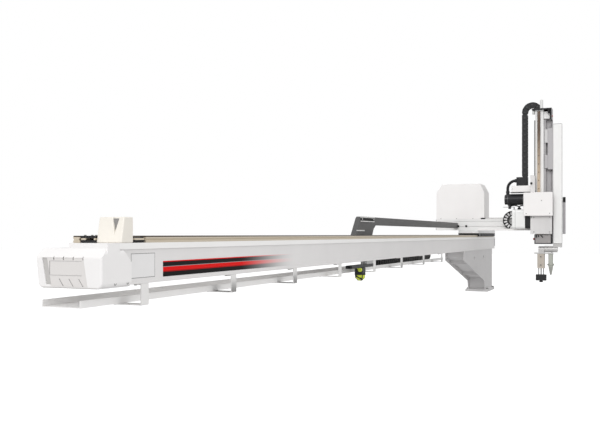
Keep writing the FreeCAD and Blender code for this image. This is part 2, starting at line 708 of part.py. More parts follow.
def cable_tray():
    """The sheet tray: its floor and its two upright sides, folded from one strip."""
    wall = s.tray_wall
    right = s.tray_side_y
    left = s.tray_side_y + s.tray_width
    length = tray_far_x - s.tray_near_x
    floor_top = tray_low + wall
    side_height = s.tray_height - wall
    parts = [box("tray_floor", (s.tray_near_x, right, tray_low), (length, s.tray_width, wall))]
    parts += [box("tray_side", (s.tray_near_x, y, floor_top), (length, wall, side_height))
              for y in (right, left - wall)]
    return node(group("cable_tray_group", parts), "cable_tray")


def tray_hanger(start):
    """A strip with a foot under the tray, an upright and a flange under the beam."""
    thick = s.hanger_thick
    right = -beam_half
    left = s.tray_side_y + s.tray_width
    width = s.hanger_width
    return [
        box("hanger_foot", (start, right, tray_low - thick), (width, left - right, thick)),
        box("hanger_upright", (start, right, tray_low), (width, thick, beam_bottom - thick - tray_low)),
        box("hanger_flange", (start, right, beam_bottom - thick), (width, s.hanger_flange, thick))]


def tray_hangers():
    parts = []
    for i in range(int(s.hanger_count.value)):
        parts += tray_hanger(s.hanger_first_x + s.hanger_pitch * i)
    return node(group("tray_hanger_row", parts), "tray_hangers")


# Compressed-air regulator under the beam

regulator_y = -beam_half + s.air_bar_inset + s.air_bar_width / 2
air_bar_top = beam_bottom - s.air_bar_drop
air_bar_low = air_bar_top - s.air_bar_height
regulator_low = air_bar_low - s.regulator_body_height


def air_bar():
    """The drilled bar that the regulator hangs on, and the spacer between bar and beam."""
    right = regulator_y - s.air_bar_width / 2
    body = prism("air_bar", "X", rectangle(right, air_bar_low, right + s.air_bar_width, air_bar_top),
                 s.air_bar_length, s.air_bar_x, bevel_edges=s.air_bar_height / 8)
    pocket(body, "X", None, s.air_port_depth, s.air_bar_x,
           [(regulator_y, air_bar_low + s.air_bar_height / 2, s.air_port_radius)])
    spacer = box("air_bar_spacer", (s.spacer_x, right, air_bar_top),
                 (s.spacer_length, s.air_bar_width, s.air_bar_drop))
    return [body, spacer]


def regulator_body():
    half = s.regulator_width / 2
    deep = s.regulator_depth / 2
    return prism("regulator_body", "Z", rectangle(s.regulator_x - half, regulator_y - deep,
                                                  s.regulator_x + half, regulator_y + deep),
                 s.regulator_body_height, regulator_low, bevel_edges=half / 4)


def regulator_bowl():
    """The clear bowl: a revolved cup with a domed end."""
    radius = s.bowl_radius
    body = new_body("regulator_bowl", (s.regulator_x, regulator_y, regulator_low))
    sketch = new_sketch(body, "Y")
    draw_outline(sketch, [(Size(0), -s.bowl_height), (radius * 0.35, -s.bowl_height),
                          (radius * 0.9, -s.bowl_height + radius * 0.45), (radius, Size(0)),
                          (Size(0), Size(0))])
    turn = body.newObject("PartDesign::Revolution", "bowl_turn")
    turn.Profile = sketch
    turn.ReferenceAxis = (sketch, ["V_Axis"])
    turn.Angle = 360
    return body


def air_regulator():
    return node(group("air_regulator_group", air_bar() + [regulator_body(), regulator_bowl()]),
                "air_regulator")


knob_x = s.regulator_x + s.regulator_width / 2
knob_z = regulator_low + s.regulator_body_height / 2


def regulator_knob():
    """The pressure knob on the regulator's end, with finger grooves between its ridges."""
    outer = s.knob_radius * 0.9
    inner = outer * 0.86
    count = int(s.knob_groove_count.value)
    outline = []
    for i in range(count * 2):
        radius = outer if i % 2 == 0 else inner
        for side in (-0.25, 0.25):
            angle = math.pi * (i + side) / count
            outline.append((radius * math.cos(angle), radius * math.sin(angle)))
    body = new_body("knob_body", (knob_x + s.running_gap, regulator_y, knob_z))
    pad(body, "X", outline, s.knob_height)
    return node(body, "regulator_knob")


# Energy chains. A chain is a row of overlapping link plates that goes round a bend.

def chain_pitch():
    """The distance between pins that divides the bend's half circle into whole links."""
    return 2 * s.chain_bend_radius.value * math.sin(math.pi / (2 * s.chain_bend_links.value))


def link_outline(pitch, height):
    """One link's side view, from pin to pin, with a narrower waist."""
    half = height / 2
    end = height * 0.22
    waist = height * 0.1
    return [(-end, -half * 0.55), (0, -half), (pitch * 0.3, -half), (pitch * 0.38, -half + waist),
            (pitch * 0.62, -half + waist), (pitch * 0.7, -half), (pitch, -half),
            (pitch + end, -half * 0.55), (pitch + end, half * 0.55), (pitch, half),
            (pitch * 0.7, half), (pitch * 0.62, half - waist), (pitch * 0.38, half - waist),
            (pitch * 0.3, half), (0, half), (-end, half * 0.55)]


def chain_shape(joints, width):
    """Links between neighbouring pin places (across, up), extruded over the chain's width."""
    height = s.chain_height.value
    links = []
    for first, second in zip(joints, joints[1:]):
        run = Vector(second[0] - first[0], second[1] - first[1], 0)
        points = [Vector(a, b, 0) for a, b in link_outline(run.Length, height)]
        face = Part.Face(Part.makePolygon(points + points[:1]))
        link = face.extrude(Vector(0, 0, width))
        turn = Rotation(Vector(1, 0, 0), run)
        link.Placement = Placement(Vector(first[0], first[1], -width / 2), turn)
        links.append(link)
    return links[0].multiFuse(links[1:]).removeSplitter() if len(links) > 1 else links[0]


def chain_node(label, joints, width, at, turn):
    item = doc.addObject("Part::Feature", label)
    item.Shape = chain_shape(joints, width)
    item.Placement = Placement(Vector(*at), turn)
    return node(item, label)


def bend_joints():
    """Pin places round a half circle that opens towards -across, from its low end to its top end."""
    radius = s.chain_bend_radius.value
    count = int(s.chain_bend_links.value)
    angles = [math.pi * (i / count - 0.5) for i in range(count + 1)]
    return [(radius * math.cos(a), radius * math.sin(a)) for a in angles]


chain_step = 2 * s.chain_bend_radius * Size(math.sin(math.pi / (2 * s.chain_bend_links.value)))


def straight_run(up, count):
    """A run that leaves a small break between its first link and the bend."""
    pitch = chain_pitch()
    start = -s.chain_height.value * 0.44 - s.chain_break.value
    return [(start - pitch * i, up) for i in range(count + 1)]


# A chain's own plane is turned so that across and up lie along the object's axes.
FACE_X_Z = Rotation(Vector(1, 0, 0), 90)


def chain_parts(prefix, width, at, turn, lower_count, upper_count):
    radius = s.chain_bend_radius.value
    chain_node(f"{prefix}_bend", bend_joints(), width, at, turn)
    chain_node(f"{prefix}_lower_run", straight_run(-radius, lower_count), width, at, turn)
    chain_node(f"{prefix}_upper_run", straight_run(radius, upper_count), width, at, turn)


traverse_chain_z = tray_low + s.tray_wall + s.chain_seat_gap + s.chain_height / 2 + s.chain_bend_radius


def traverse_chain():
    middle = traverse_chain_z.value
    chain_parts("traverse_chain", s.traverse_chain_width.value,
                (s.traverse_bend_x.value, s.traverse_chain_y.value, middle), FACE_X_Z,
                int(s.traverse_lower_links.value), int(s.traverse_upper_links.value))


cross_chain_x = cross_front_x - 5 - s.cross_chain_width / 2
cross_chain_z = carriage_top + s.chain_seat_gap + s.chain_height / 2 + s.chain_bend_radius


def cross_chain():
    turn = Rotation(Vector(0, 0, 1), 90) * Rotation(Vector(1, 0, 0), 90)
    chain_parts("cross_chain", s.cross_chain_width.value,
                (cross_chain_x.value, s.cross_bend_y.value, cross_chain_z.value), turn,
                int(s.cross_lower_links.value), int(s.cross_upper_links.value))


arm_chain_mid_y = s.arm_chain_y - s.chain_bend_radius


def arm_chain():
    """Bend over the arm's top: the left run goes down to the saddle, the right one into the arm."""
    width = s.arm_chain_width.value
    at = (stage_mid_x.value, arm_chain_mid_y.value, s.arm_bend_z.value)
    turn = Rotation(Vector(0, 1, 0), -90)
    radius = s.chain_bend_radius.value
    chain_node("arm_chain_bend", bend_joints(), width, at, turn)
    chain_node("arm_chain_saddle_run", straight_run(radius, int(s.arm_chain_links.value)), width, at, turn)
    chain_node("arm_chain_stage_run", straight_run(-radius, int(s.arm_chain_hidden_links.value)), width,
               at, turn)


# Traverse carriage

def guide_block(name, start, length, centre, low, width, height, rail_width, rail_height, gap):
    """A bearing block that straddles a rail, extruded along X."""
    half = width / 2
    slot = rail_width / 2 + s.running_gap
    outline = [
        (centre - half, low + gap), (centre - slot, low + gap), (centre - slot, low + rail_height + 1),
        (centre + slot, low + rail_height + 1), (centre + slot, low + gap), (centre + half, low + gap),
        (centre + half, low + height), (centre - half, low + height)]
    return prism(name, "X", outline, length, start)


def traverse_blocks():
    front = s.carriage_front_x + s.block_inset
    back = s.carriage_front_x + s.carriage_length - s.block_length - s.block_inset
    parts = [guide_block("traverse_block", start, s.block_length, side * s.rail_gauge / 2, beam_top,
                         s.block_width, s.guide_height, s.rail_width,
                         s.rail_height + s.rail_strip_thick, s.block_gap)
             for start in (front, back) for side in (-1, 1)]
    return node(group("traverse_block_group", parts), "traverse_blocks")


def carriage_plate():
    half = s.carriage_width / 2
    body = prism("carriage_plate", "Z", rectangle(s.carriage_front_x, -half,
                                                  s.carriage_front_x + s.carriage_length, half),
                 s.carriage_thick, carriage_low, s.carriage_thick / 4)
    return node(body, "carriage_plate")


def traverse_drive():
    """The gear housing on the carriage with its servo standing inside the cover."""
    housing = prism("drive_housing", "Z",
                    rectangle(cross_back_x, -s.housing_width / 2, cross_back_x + s.housing_length,
                              s.housing_width / 2), s.cross_height, carriage_top,
                    bevel_edges=s.drive_edge)
    half = s.drive_flange / 2
    x = cross_back_x + s.housing_length / 2
    motor = prism("traverse_motor", "Z", rectangle(x - half, -half, x + half, half),
                  s.drive_motor_length, cross_top, bevel_edges=s.motor_edge)
    return node(group("traverse_drive_pair", [housing, motor]), "traverse_drive")


def cover_box():
    """The folded sheet cover over the drive, open below, with both upper edges cut at a slant
    and a notch round its lower front corner."""
    low = cross_top
    top = low + s.box_height
    left = s.box_left_y
    right = s.box_right_y
    shoulder = top - s.box_cut_height
    outline = [(right, low), (left, low), (left, shoulder), (left - s.box_left_cut, top),
               (right + s.box_right_cut, top), (right, shoulder)]
    body = prism("cover_box", "X", outline, s.box_length, cross_front_x)
    sheet = s.box_sheet
    inner = [(right + sheet, low), (left - sheet, low), (left - sheet, shoulder - sheet),
             (left - s.box_left_cut - sheet, top - sheet), (right + s.box_right_cut + sheet, top - sheet),
             (right + sheet, shoulder - sheet)]
    pocket(body, "X", inner, s.box_length - sheet * 2, cross_front_x + sheet)
    pocket(body, "Z", rectangle(cross_front_x - 1, right - 1, cross_front_x + s.box_notch_length,
                                right + s.box_notch_width), s.box_notch_height, low)
    return node(body, "cover_box")


# Crosswise beam

cross_length = s.cross_left_y - s.cross_right_y


def cross_beam():
    """A hollow section with two slots in its front, closed by an end cap on each side."""
    front = cross_front_x
    low = carriage_top
    slot_low = low + s.cross_height * 0.25
    slot_top = low + s.cross_height * 0.72
    deep = s.slot_depth
    wide = s.slot_width
    outline = [(front, low), (cross_back_x, low), (cross_back_x, cross_top), (front, cross_top),
               (front, slot_top + wide), (front + deep, slot_top + wide), (front + deep, slot_top),
               (front, slot_top), (front, slot_low + wide), (front + deep, slot_low + wide),
               (front + deep, slot_low), (front, slot_low)]
    body = prism("cross_profile", "Y", outline, cross_length, s.cross_right_y)
    wall = s.cross_wall + deep
    pocket(body, "Y", rectangle(front + wall, low + s.cross_wall, cross_back_x - wall,
                                cross_top - s.cross_wall), cross_length, s.cross_right_y)
    caps = [box("cross_cap", (front, y, low), (s.cross_width, s.cross_cap, s.cross_height))
            for y in (s.cross_left_y, s.cross_right_y - s.cross_cap)]
    return node(group("cross_beam_group", [body] + caps), "cross_beam")


def cross_rails():
    parts = []
    for side in (-1, 1):
        outline = rail_outline(cross_mid_x + side * s.cross_rail_gauge / 2, cross_top,
                               s.cross_rail_width, s.cross_rail_height, s.rail_waist / 2)
        parts.append(prism("cross_rail", "Y", outline, s.cross_rail_end_y - s.cross_right_y,
                           s.cross_right_y))
    return node(group("cross_rail_pair", parts), "cross_rails")


def chain_shelf():
    """The bent sheet under the crosswise beam that the lower chain run lies on."""
    thick = s.chain_shelf_thick
    front = cross_front_x - s.chain_shelf_depth
    back = cross_front_x + s.chain_shelf_tongue
    low = carriage_top - thick
    lip_top = carriage_top + s.chain_shelf_lip
    outline = [(front, low), (back, low), (back, carriage_top), (front + thick, carriage_top),
               (front + thick, lip_top), (front, lip_top)]
    right = s.cross_right_y
    left = -s.carriage_width / 2 - s.chain_shelf_gap
    return node(prism("chain_shelf", "Y", outline, left - right, right), "chain_shelf")


# Cable arm that reaches along the beam to the chain in the tray

def cable_arm():
    """A long duct whose leg comes down on the upper chain run, with a clamp plate at the bend."""
    top = s.cable_arm_z + s.cable_arm_height
    low = s.cable_arm_z
    end = s.cable_arm_end_x
    foot_left = s.leg_foot_x
    foot_z = traverse_chain_z + s.chain_bend_radius + s.chain_height / 2 + s.chain_seat_gap
    leg_top = low - s.leg_height
    slant_x = foot_left + s.leg_top_run
    outline = [
        (foot_left, foot_z), (foot_left + s.leg_width, foot_z),
        (foot_left + s.leg_width, leg_top), (end - s.arm_tip_run, low - s.arm_tip_drop), (end, low),
        (cross_front_x, low), (cross_front_x, top), (slant_x, top),
        (slant_x - s.leg_slant_run, top - s.leg_slant_drop), (foot_left, leg_top)]
    body = prism("cable_duct", "Y", outline, s.cable_arm_width, s.cable_arm_y)
    sheet = s.cable_arm_sheet
    groove = rectangle(foot_left + s.arm_groove_inset, top - sheet * 4,
                       cross_front_x - s.arm_groove_end, top + 1)
    pocket(body, "Y", groove, s.cable_arm_width - sheet * 2, s.cable_arm_y + sheet)
    clamp = box("arm_clamp", (s.leg_foot_x + s.clamp_inset, s.cable_arm_y - s.clamp_thick,
                              top - s.clamp_height), (s.clamp_length, s.clamp_thick, s.clamp_height))
    return node(group("cable_arm_pair", [body, clamp]), "cable_arm")


# Saddle that carries the vertical arm along the crosswise beam

saddle_wall_right = s.saddle_left_y - s.saddle_wall
front_plate_x = s.stage_front_x - s.stage_guide_height - s.front_plate_thick


def saddle_bracket():
    """One welded bracket: base on the bearings, bridge over the chain, and the back plate."""
    back = s.back_plate_x
    front = back - s.back_plate_thick
    weld = s.weld_leg
    riser_front = cross_front_x + s.bracket_inset
    riser_back = riser_front + s.saddle_thick
    base_top_z = saddle_low + s.saddle_thick
    base_back = cross_back_x - s.bracket_inset
    bridge_top = s.bridge_z + s.bridge_thick
    outline = [
        (riser_front, saddle_low), (base_back, saddle_low), (base_back, base_top_z),
        (riser_back + weld, base_top_z), (riser_back, base_top_z + weld), (riser_back, bridge_top),
        (back + s.bridge_toe, bridge_top), (back, s.back_plate_top_z), (front, s.back_plate_top_z),
        (front, s.saddle_low_z), (back, s.saddle_low_z), (back, s.bridge_z), (riser_front, s.bridge_z)]
    width = s.saddle_left_y - saddle_right_y
    body = prism("saddle_bracket", "Y", outline, width, saddle_right_y)
    pad(body, "Y", rectangle(front, s.saddle_low_z, back, s.back_plate_top_z),
        saddle_right_y - s.back_plate_right_y, s.back_plate_right_y)
    return node(body, "saddle_bracket")


def saddle_side():
    left = s.back_plate_x - s.back_plate_thick
    front = front_plate_x + s.front_plate_thick
    low = s.saddle_low_z + s.side_low_cut
    body = prism("saddle_side", "Y", [
        (front, low), (left, low), (left, s.back_plate_top_z), (left - s.bridge_toe, s.saddle_top_z),
        (front, s.saddle_top_z)], s.saddle_wall, saddle_wall_right)
    return node(body, "saddle_side")


def saddle_front():
    """The plate in front of the arm, with an upright tab on its left."""
    width = saddle_wall_right - saddle_right_y
    height = s.saddle_top_z - s.saddle_low_z
    plate = box("saddle_front_plate", (front_plate_x, saddle_right_y, s.saddle_low_z),
                (s.front_plate_thick, width, height))
    tab = box("saddle_tab", (front_plate_x, s.tab_right_y, s.saddle_top_z - s.tab_thick),
              (s.tab_thick, s.saddle_left_y - s.tab_right_y, s.tab_top_z - s.saddle_top_z + s.tab_thick))
    side = box("saddle_tab_foot", (front_plate_x, saddle_wall_right, s.saddle_low_z),
               (s.front_plate_thick, s.saddle_wall, height))
    return node(fuse("saddle_front_fuse", [plate, tab, side]), "saddle_front")


def saddle_cover():
    """The white sheet cover in front of the saddle, with rounded upright edges."""
    front = front_plate_x - s.saddle_cover_depth
    body = prism("saddle_cover", "Z", rectangle(front, s.saddle_cover_right_y, front_plate_x,
                                                s.saddle_cover_left_y),
                 s.saddle_cover_top_z - s.saddle_cover_low_z, s.saddle_cover_low_z,
                 s.saddle_cover_edge)
    return node(body, "saddle_cover")


def cross_blocks():
    parts = []
    near_left = s.saddle_left_y - s.cross_block_length - s.cross_block_left_inset
    for start in (s.cross_right_y + s.cross_block_right_inset, near_left):
        for side in (-1, 1):
            centre = cross_mid_x + side * s.cross_rail_gauge / 2
            half = s.cross_block_width / 2
            slot = s.cross_rail_width / 2 + s.running_gap
            low = cross_top
            ceiling = low + s.cross_rail_height + 1
            outline = [
                (centre - half, low + s.cross_block_gap), (centre - slot, low + s.cross_block_gap),
                (centre - slot, ceiling), (centre + slot, ceiling),
                (centre + slot, low + s.cross_block_gap), (centre + half, low + s.cross_block_gap),
                (centre + half, saddle_low), (centre - half, saddle_low)]
            parts.append(prism("cross_block", "Y", outline, s.cross_block_length, start))
    return parts


def upright_block(name, low, face_x, centre_y, length):
    """A bearing block on an upright rail that faces -X, open towards the rail."""
    half = s.cross_block_width / 2
    slot = s.stage_rail_width / 2 + s.running_gap
    outer = face_x - s.stage_guide_height
    inner = face_x - s.upright_block_gap
    floor = face_x - s.stage_rail_height - 1
    outline = [
        (outer, centre_y - half), (outer, centre_y + half), (inner, centre_y + half),
        (inner, centre_y + slot), (floor, centre_y + slot), (floor, centre_y - slot),
        (inner, centre_y - slot), (inner, centre_y - half)]
    return prism(name, "Z", outline, length, low)


stage_rail_y = stage_mid_y + s.front_rail_offset


def saddle_blocks():
    """All bearing blocks of the saddle: four on the crosswise beam, two on the arm's front rail."""
    parts = [upright_block("saddle_block", low, s.stage_front_x, stage_rail_y, s.cross_block_length)
             for low in (s.saddle_low_z + s.saddle_block_inset,
                         s.saddle_top_z - s.cross_block_length - s.saddle_block_inset)]
    return node(group("saddle_block_group", cross_blocks() + parts), "saddle_blocks")


def arm_servo():
    """The white servo that drives the vertical arm, its axis along Y."""
    half = s.servo_flange / 2 + s.servo_edge
    x = s.servo_x
    z = s.servo_z
    right = s.saddle_left_y + s.servo_flange_length
    case = prism("servo_case", "Y", rectangle(x - half, z - half, x + half, z + half), s.servo_length,
                 right, half / 4)
    small = half - s.servo_flange_step
    flange = prism("servo_flange", "Y", rectangle(x - small, z - small, x + small, z + small),
                   s.servo_flange_length, s.saddle_left_y, half / 5)
    return node(group("arm_servo_pair", [case, flange]), "arm_servo")


hose_x = s.cross_motor_x + s.hose_offset
gland_top = s.cross_motor_z + s.cross_motor_radius + s.hose_gland_height


def cross_motor():
    """The dark motor of the crosswise axis with its gearbox, its cap and the hose's gland."""
    right = s.saddle_left_y
    radius = s.cross_motor_radius
    x = s.cross_motor_x
    z = s.cross_motor_z
    case_length = s.motor_case_length
    inset = s.gearbox_inset
    gearbox = box("gearbox", (x - radius + inset, right, z - radius + inset),
                  ((radius - inset) * 2, s.gearbox_length, (radius - inset) * 2))
    case = cylinder("motor_case", (x, right + s.gearbox_length, z), radius, case_length, "Y")
    cap = cylinder("motor_cap", (x, right + s.gearbox_length + case_length, z), s.motor_cap_radius,
                   s.cross_motor_length - case_length, "Y")
    gland = cylinder("hose_gland", (hose_x, s.hose_gland_y, z), s.hose_gland_radius, gland_top - z)
    return node(fuse("cross_motor_fuse", [gearbox, case, cap, gland]), "cross_motor")


shelf_top = s.saddle_top_z + s.shelf_plate_thick
valve_left_y = s.shelf_plate_left_y - s.valve_box_inset
valve_right_y = valve_left_y - s.valve_box_width
valve_top = shelf_top + s.valve_box_height


def equipment_shelf():
    """The sheet on top of the saddle's side wall that carries the valve box over the motor."""
    right = valve_right_y - s.shelf_plate_thick / 2
    return node(box("equipment_shelf", (s.cross_motor_x - s.shelf_plate_depth / 2, right, s.saddle_top_z),
                    (s.shelf_plate_depth, s.shelf_plate_left_y - right, s.shelf_plate_thick)),
                "equipment_shelf")


def valve_unit():
    """The white valve box with the black plug housing on it, where the arm's chain starts."""
    x = s.cross_motor_x
    half = s.valve_box_depth / 2
    case = prism("valve_box", "Z", rectangle(x - half, valve_right_y, x + half, valve_left_y),
                 s.valve_box_height, shelf_top, bevel_edges=s.valve_box_corner)
    return node(group("valve_unit_pair", [case, connector_block()]), "valve_unit")


connector_right_y = s.arm_chain_y - s.chain_height / 2 - 1
connector_left_y = connector_right_y + s.connector_width


def connector_block():
    """The black plug housing where the arm's chain starts."""
    half = s.connector_depth / 2
    chain_end = (s.arm_bend_z - s.chain_height * 0.44 - s.chain_break
                 - chain_step * s.arm_chain_links - s.chain_height * 0.22)
    outline = rectangle(stage_mid_x - half, connector_right_y, stage_mid_x + half, connector_left_y)
    return prism("connector_block", "Z", outline, chain_end - valve_top, valve_top,
                 bevel_edges=s.valve_box_corner)


def motor_hose():
    """The corrugated hose from the plug housing's side over to the gland on the motor."""
    bend = s.hose_bend.value
    start = Vector(hose_x.value, connector_left_y.value, s.hose_high_z.value)
    corner = Vector(start.x, s.hose_gland_y.value, start.z)
    end = Vector(start.x, corner.y, gland_top.value)
    first = corner - Vector(0, bend, 0)
    last = corner - Vector(0, 0, bend)
    middle = first + Vector(0, bend * math.sin(math.pi / 4), -bend * (1 - math.cos(math.pi / 4)))
    path = Part.Wire([Part.LineSegment(start, first).toShape(), Part.Arc(first, middle, last).toShape(),
                      Part.LineSegment(last, end).toShape()])
    count = int(s.hose_sides.value)
    rim = [start + Rotation(Vector(0, 1, 0), 360 * i / count).multVec(Vector(s.hose_radius.value, 0, 0))
           for i in range(count + 1)]
    profile = Part.makePolygon(rim)
    item = doc.addObject("Part::Feature", "motor_hose")
    item.Shape = path.makePipeShell([profile], True, False)
    return node(item, "motor_hose")


# Lower stage of the vertical arm

stage_length = s.stage_top_z - s.stage_low_z
pulley_low_z = s.stage_low_z + s.pulley_inset
pulley_high_z = s.stage_top_z - s.pulley_inset
belt_block_low = s.stage_top_z - s.belt_block_drop - s.belt_block_height


def stage_profile():
    body = tube("stage_profile", "Z", s.stage_front_x, s.stage_right_y, stage_back_x, stage_left_y,
                stage_length, s.stage_low_z, s.stage_wall, s.stage_corner)
    return node(body, "stage_profile")


def stage_web():
    """The channel's back with two pressed-in shafts for the belt's wheels, and the upper block."""
    web = prism("stage_web_sheet", "Z", rectangle(stage_back_x - s.stage_web_thick,
                                                  s.stage_right_y - s.stage_web_width, stage_back_x,
                                                  s.stage_right_y), stage_length, s.stage_low_z)
    start = s.pulley_x - 1
    shafts = [cylinder("pulley_shaft", (start, s.pulley_y, z), s.pulley_shaft_radius,
                       stage_back_x - start, "X") for z in (pulley_low_z, pulley_high_z)]
    block = box("belt_block", (s.pulley_x - 3 - s.belt_block_depth, s.stage_right_y - s.belt_block_width,
                               belt_block_low), (s.belt_block_depth, s.belt_block_width,
                                                 s.belt_block_height))
    return node(group("stage_web_group", [fuse("stage_web_fuse", [web] + shafts), block]), "stage_web")


def stage_rails():
    """The arm's front rail for the saddle and its side rail for the outer profile."""
    section = rail_outline(stage_rail_y, Size(0), s.stage_rail_width, s.stage_rail_height, s.rail_waist)
    outline = [(s.stage_front_x - up, across) for across, up in section]
    end = s.front_rail_end
    front = prism("front_rail", "Z", outline, stage_length - end * 2, s.stage_low_z + end)
    low = s.stage_low_z + s.side_rail_end
    side = box("side_rail", (s.side_rail_x, s.stage_right_y - s.side_rail_height, low),
               (s.side_rail_width, s.side_rail_height, belt_block_low - s.side_rail_gap - low))
    return node(group("stage_rail_pair", [front, side]), "stage_rails")


def top_bracket():
    """The black angle that closes the stage's top, with an opening for the chain."""
    thick = s.top_bracket_thick
    right = s.stage_right_y - s.stage_web_width
    left = stage_left_y + s.top_bracket_left
    low = s.stage_top_z
    front = s.stage_front_x - s.top_bracket_front
    body = prism("top_angle", "X", rectangle(right, low, left, low + thick), stage_back_x - front, front)
    pad(body, "X", rectangle(right, low - s.top_bracket_drop, right + thick, low + 1),
        stage_back_x - s.stage_web_thick - front, front)
    wall = s.stage_wall
    pocket(body, "Z", rectangle(s.stage_front_x + wall, s.stage_right_y + wall, stage_back_x - wall,
                                stage_left_y - wall), thick * 3, low - thick)
    return node(group("top_bracket_group", [body, arm_tube()] + stage_bumpers()), "top_bracket")


def bottom_frame():
    """The black frame round the stage's lower end."""
    open_side = s.bottom_frame_thick
    right = s.stage_right_y - s.stage_web_width
    left = stage_left_y + open_side
    lift = s.bottom_frame_lift
    low = s.stage_low_z - s.bottom_frame_open + lift
    top = low + s.bottom_frame_height
    outer = rectangle(right, low, left, s.stage_low_z)
    front = s.stage_front_x - lift
    depth = s.stage_depth + lift
    body = prism("bottom_frame", "X", outer, depth, front)
    pad(body, "X", rectangle(stage_left_y, low, left, top), depth, front)
    pad(body, "X", rectangle(right, low, right + open_side, low + s.bottom_frame_height / 2),
        depth - s.bottom_frame_open, front)
    return node(body, "bottom_frame")


def stage_pulley(label, z):
    """A toothed wheel, bored for its shaft. The teeth stand round a circle, two points each."""
    outer = s.pulley_radius - s.stage_belt_thick - s.wheel_gap
    root = outer - s.tooth_depth
    count = int(s.pulley_teeth.value)
    outline = []
    for i in range(count * 2):
        radius = outer if i % 2 == 0 else root
        for side in (-0.3, 0.3):
            angle = math.pi * (i + side) / count
            outline.append((radius * math.cos(angle), radius * math.sin(angle)))
    body = new_body(f"{label}_wheel", (s.pulley_x, s.pulley_y, z))
    pad(body, "X", outline, s.pulley_width)
    pocket(body, "X", None, s.pulley_width, 0, [(0, 0, s.pulley_shaft_radius + s.fit_gap)])
    return node(body, label)


def stage_belt():
    """The closed belt round both wheels, and the arm's drive belt along the stage's left side."""
    outer = s.pulley_radius
    inner = s.pulley_radius - s.stage_belt_thick
    width = s.pulley_width - 2
    x = s.pulley_x + 1
    span = pulley_high_z - pulley_low_z

    def loop(name, radius, start, length):
        return fuse(name, [
            cylinder(f"{name}_low", (start, s.pulley_y, pulley_low_z), radius, length, "X"),
            cylinder(f"{name}_high", (start, s.pulley_y, pulley_high_z), radius, length, "X"),
            box(f"{name}_runs", (start, s.pulley_y - radius, pulley_low_z), (length, radius * 2, span))])
    closed = cut("belt_loop", loop("belt_outer", outer, x, width),
                 [loop("belt_inner", inner, x - 1, width + 2)])
    drive = box("drive_belt", (stage_mid_x - s.drive_belt_width, stage_left_y, s.drive_belt_low_z),
                (s.drive_belt_width, s.drive_belt_thick, s.drive_belt_top_z - s.drive_belt_low_z))
    return node(group("stage_belt_pair", [closed, drive]), "stage_belt")


def stage_bumpers():
    """Stops at the top bracket: one hangs beside the arm, one looks out to the right."""
    radius = s.stage_bumper_radius
    left_place = (s.stage_front_x + s.left_bumper_x, stage_left_y + s.left_bumper_y,
                  s.stage_top_z - s.left_bumper_length)
    right_place = (s.stage_front_x - s.right_bumper_x,
                   s.stage_right_y - s.stage_web_width + s.right_bumper_y,
                   s.stage_top_z - s.right_bumper_length)
    return [cylinder("left_bumper", left_place, radius, s.left_bumper_length),
            cylinder("right_bumper", right_place, radius, s.right_bumper_length)]


def arm_tube():
    x = s.stage_front_x - s.arm_tube_inset
    y = s.stage_right_y + s.arm_tube_inset
    low = s.stage_top_z + s.top_bracket_thick
    body = cylinder("tube", (x, y, low), s.arm_tube_radius, s.arm_tube_height)
    bore = cylinder("tube_bore", (x, y, low + s.arm_tube_floor), s.arm_tube_bore, s.arm_tube_height)
    return cut("arm_tube_cut", body, [bore])


# Upper stage of the vertical arm

outer_left_y = s.outer_right_y + s.outer_width
outer_front_x = s.outer_back_x - s.outer_depth


def outer_profile():
    body = tube("outer_profile", "Z", outer_front_x, s.outer_right_y, s.outer_back_x, outer_left_y,
                s.outer_top_z - s.outer_low_z, s.outer_low_z, s.outer_wall, s.outer_corner)
    return node(body, "outer_profile")


side_block_left = s.stage_right_y - 4
side_block_right = s.stage_right_y - s.side_guide_height


def slide_carriage():
    """Bearing blocks on the side rail, and the plate that joins them to the outer profile."""
    half = s.cross_block_width / 2
    centre = s.side_rail_x + s.side_rail_width / 2
    slot = s.side_rail_width / 2 + s.running_gap
    floor = s.stage_right_y - s.side_rail_height - 1
    outline = [
        (centre - half, side_block_right), (centre + half, side_block_right),
        (centre + half, side_block_left), (centre + slot, side_block_left), (centre + slot, floor),
        (centre - slot, floor), (centre - slot, side_block_left), (centre - half, side_block_left)]
    parts = [prism("slide_block", "Z", outline, s.slide_block_length, low)
             for low in (s.slide_lower_z, s.slide_upper_z)]
    low = s.slide_lower_z - s.slide_plate_edge
    top = s.slide_upper_z + s.slide_block_length + s.slide_plate_edge
    front = s.side_rail_x - s.slide_plate_inset
    plate = box("slide_plate", (front, outer_left_y, low),
                (s.slide_plate_depth, side_block_right - outer_left_y, top - low))
    plate_back = front + s.slide_plate_depth
    belt_right = s.pulley_y - s.pulley_radius
    grip_right = belt_right - s.belt_grip_gap - s.belt_grip_thick
    clamp = box("slide_belt_clamp", (plate_back, grip_right, low + s.belt_grip_lift),
                (s.pulley_x + s.pulley_width - 1 - plate_back, s.belt_grip_thick, s.belt_grip_height))
    return node(group("slide_carriage_group", parts + [fuse("slide_plate_fuse", [plate, clamp])]),
                "slide_carriage")


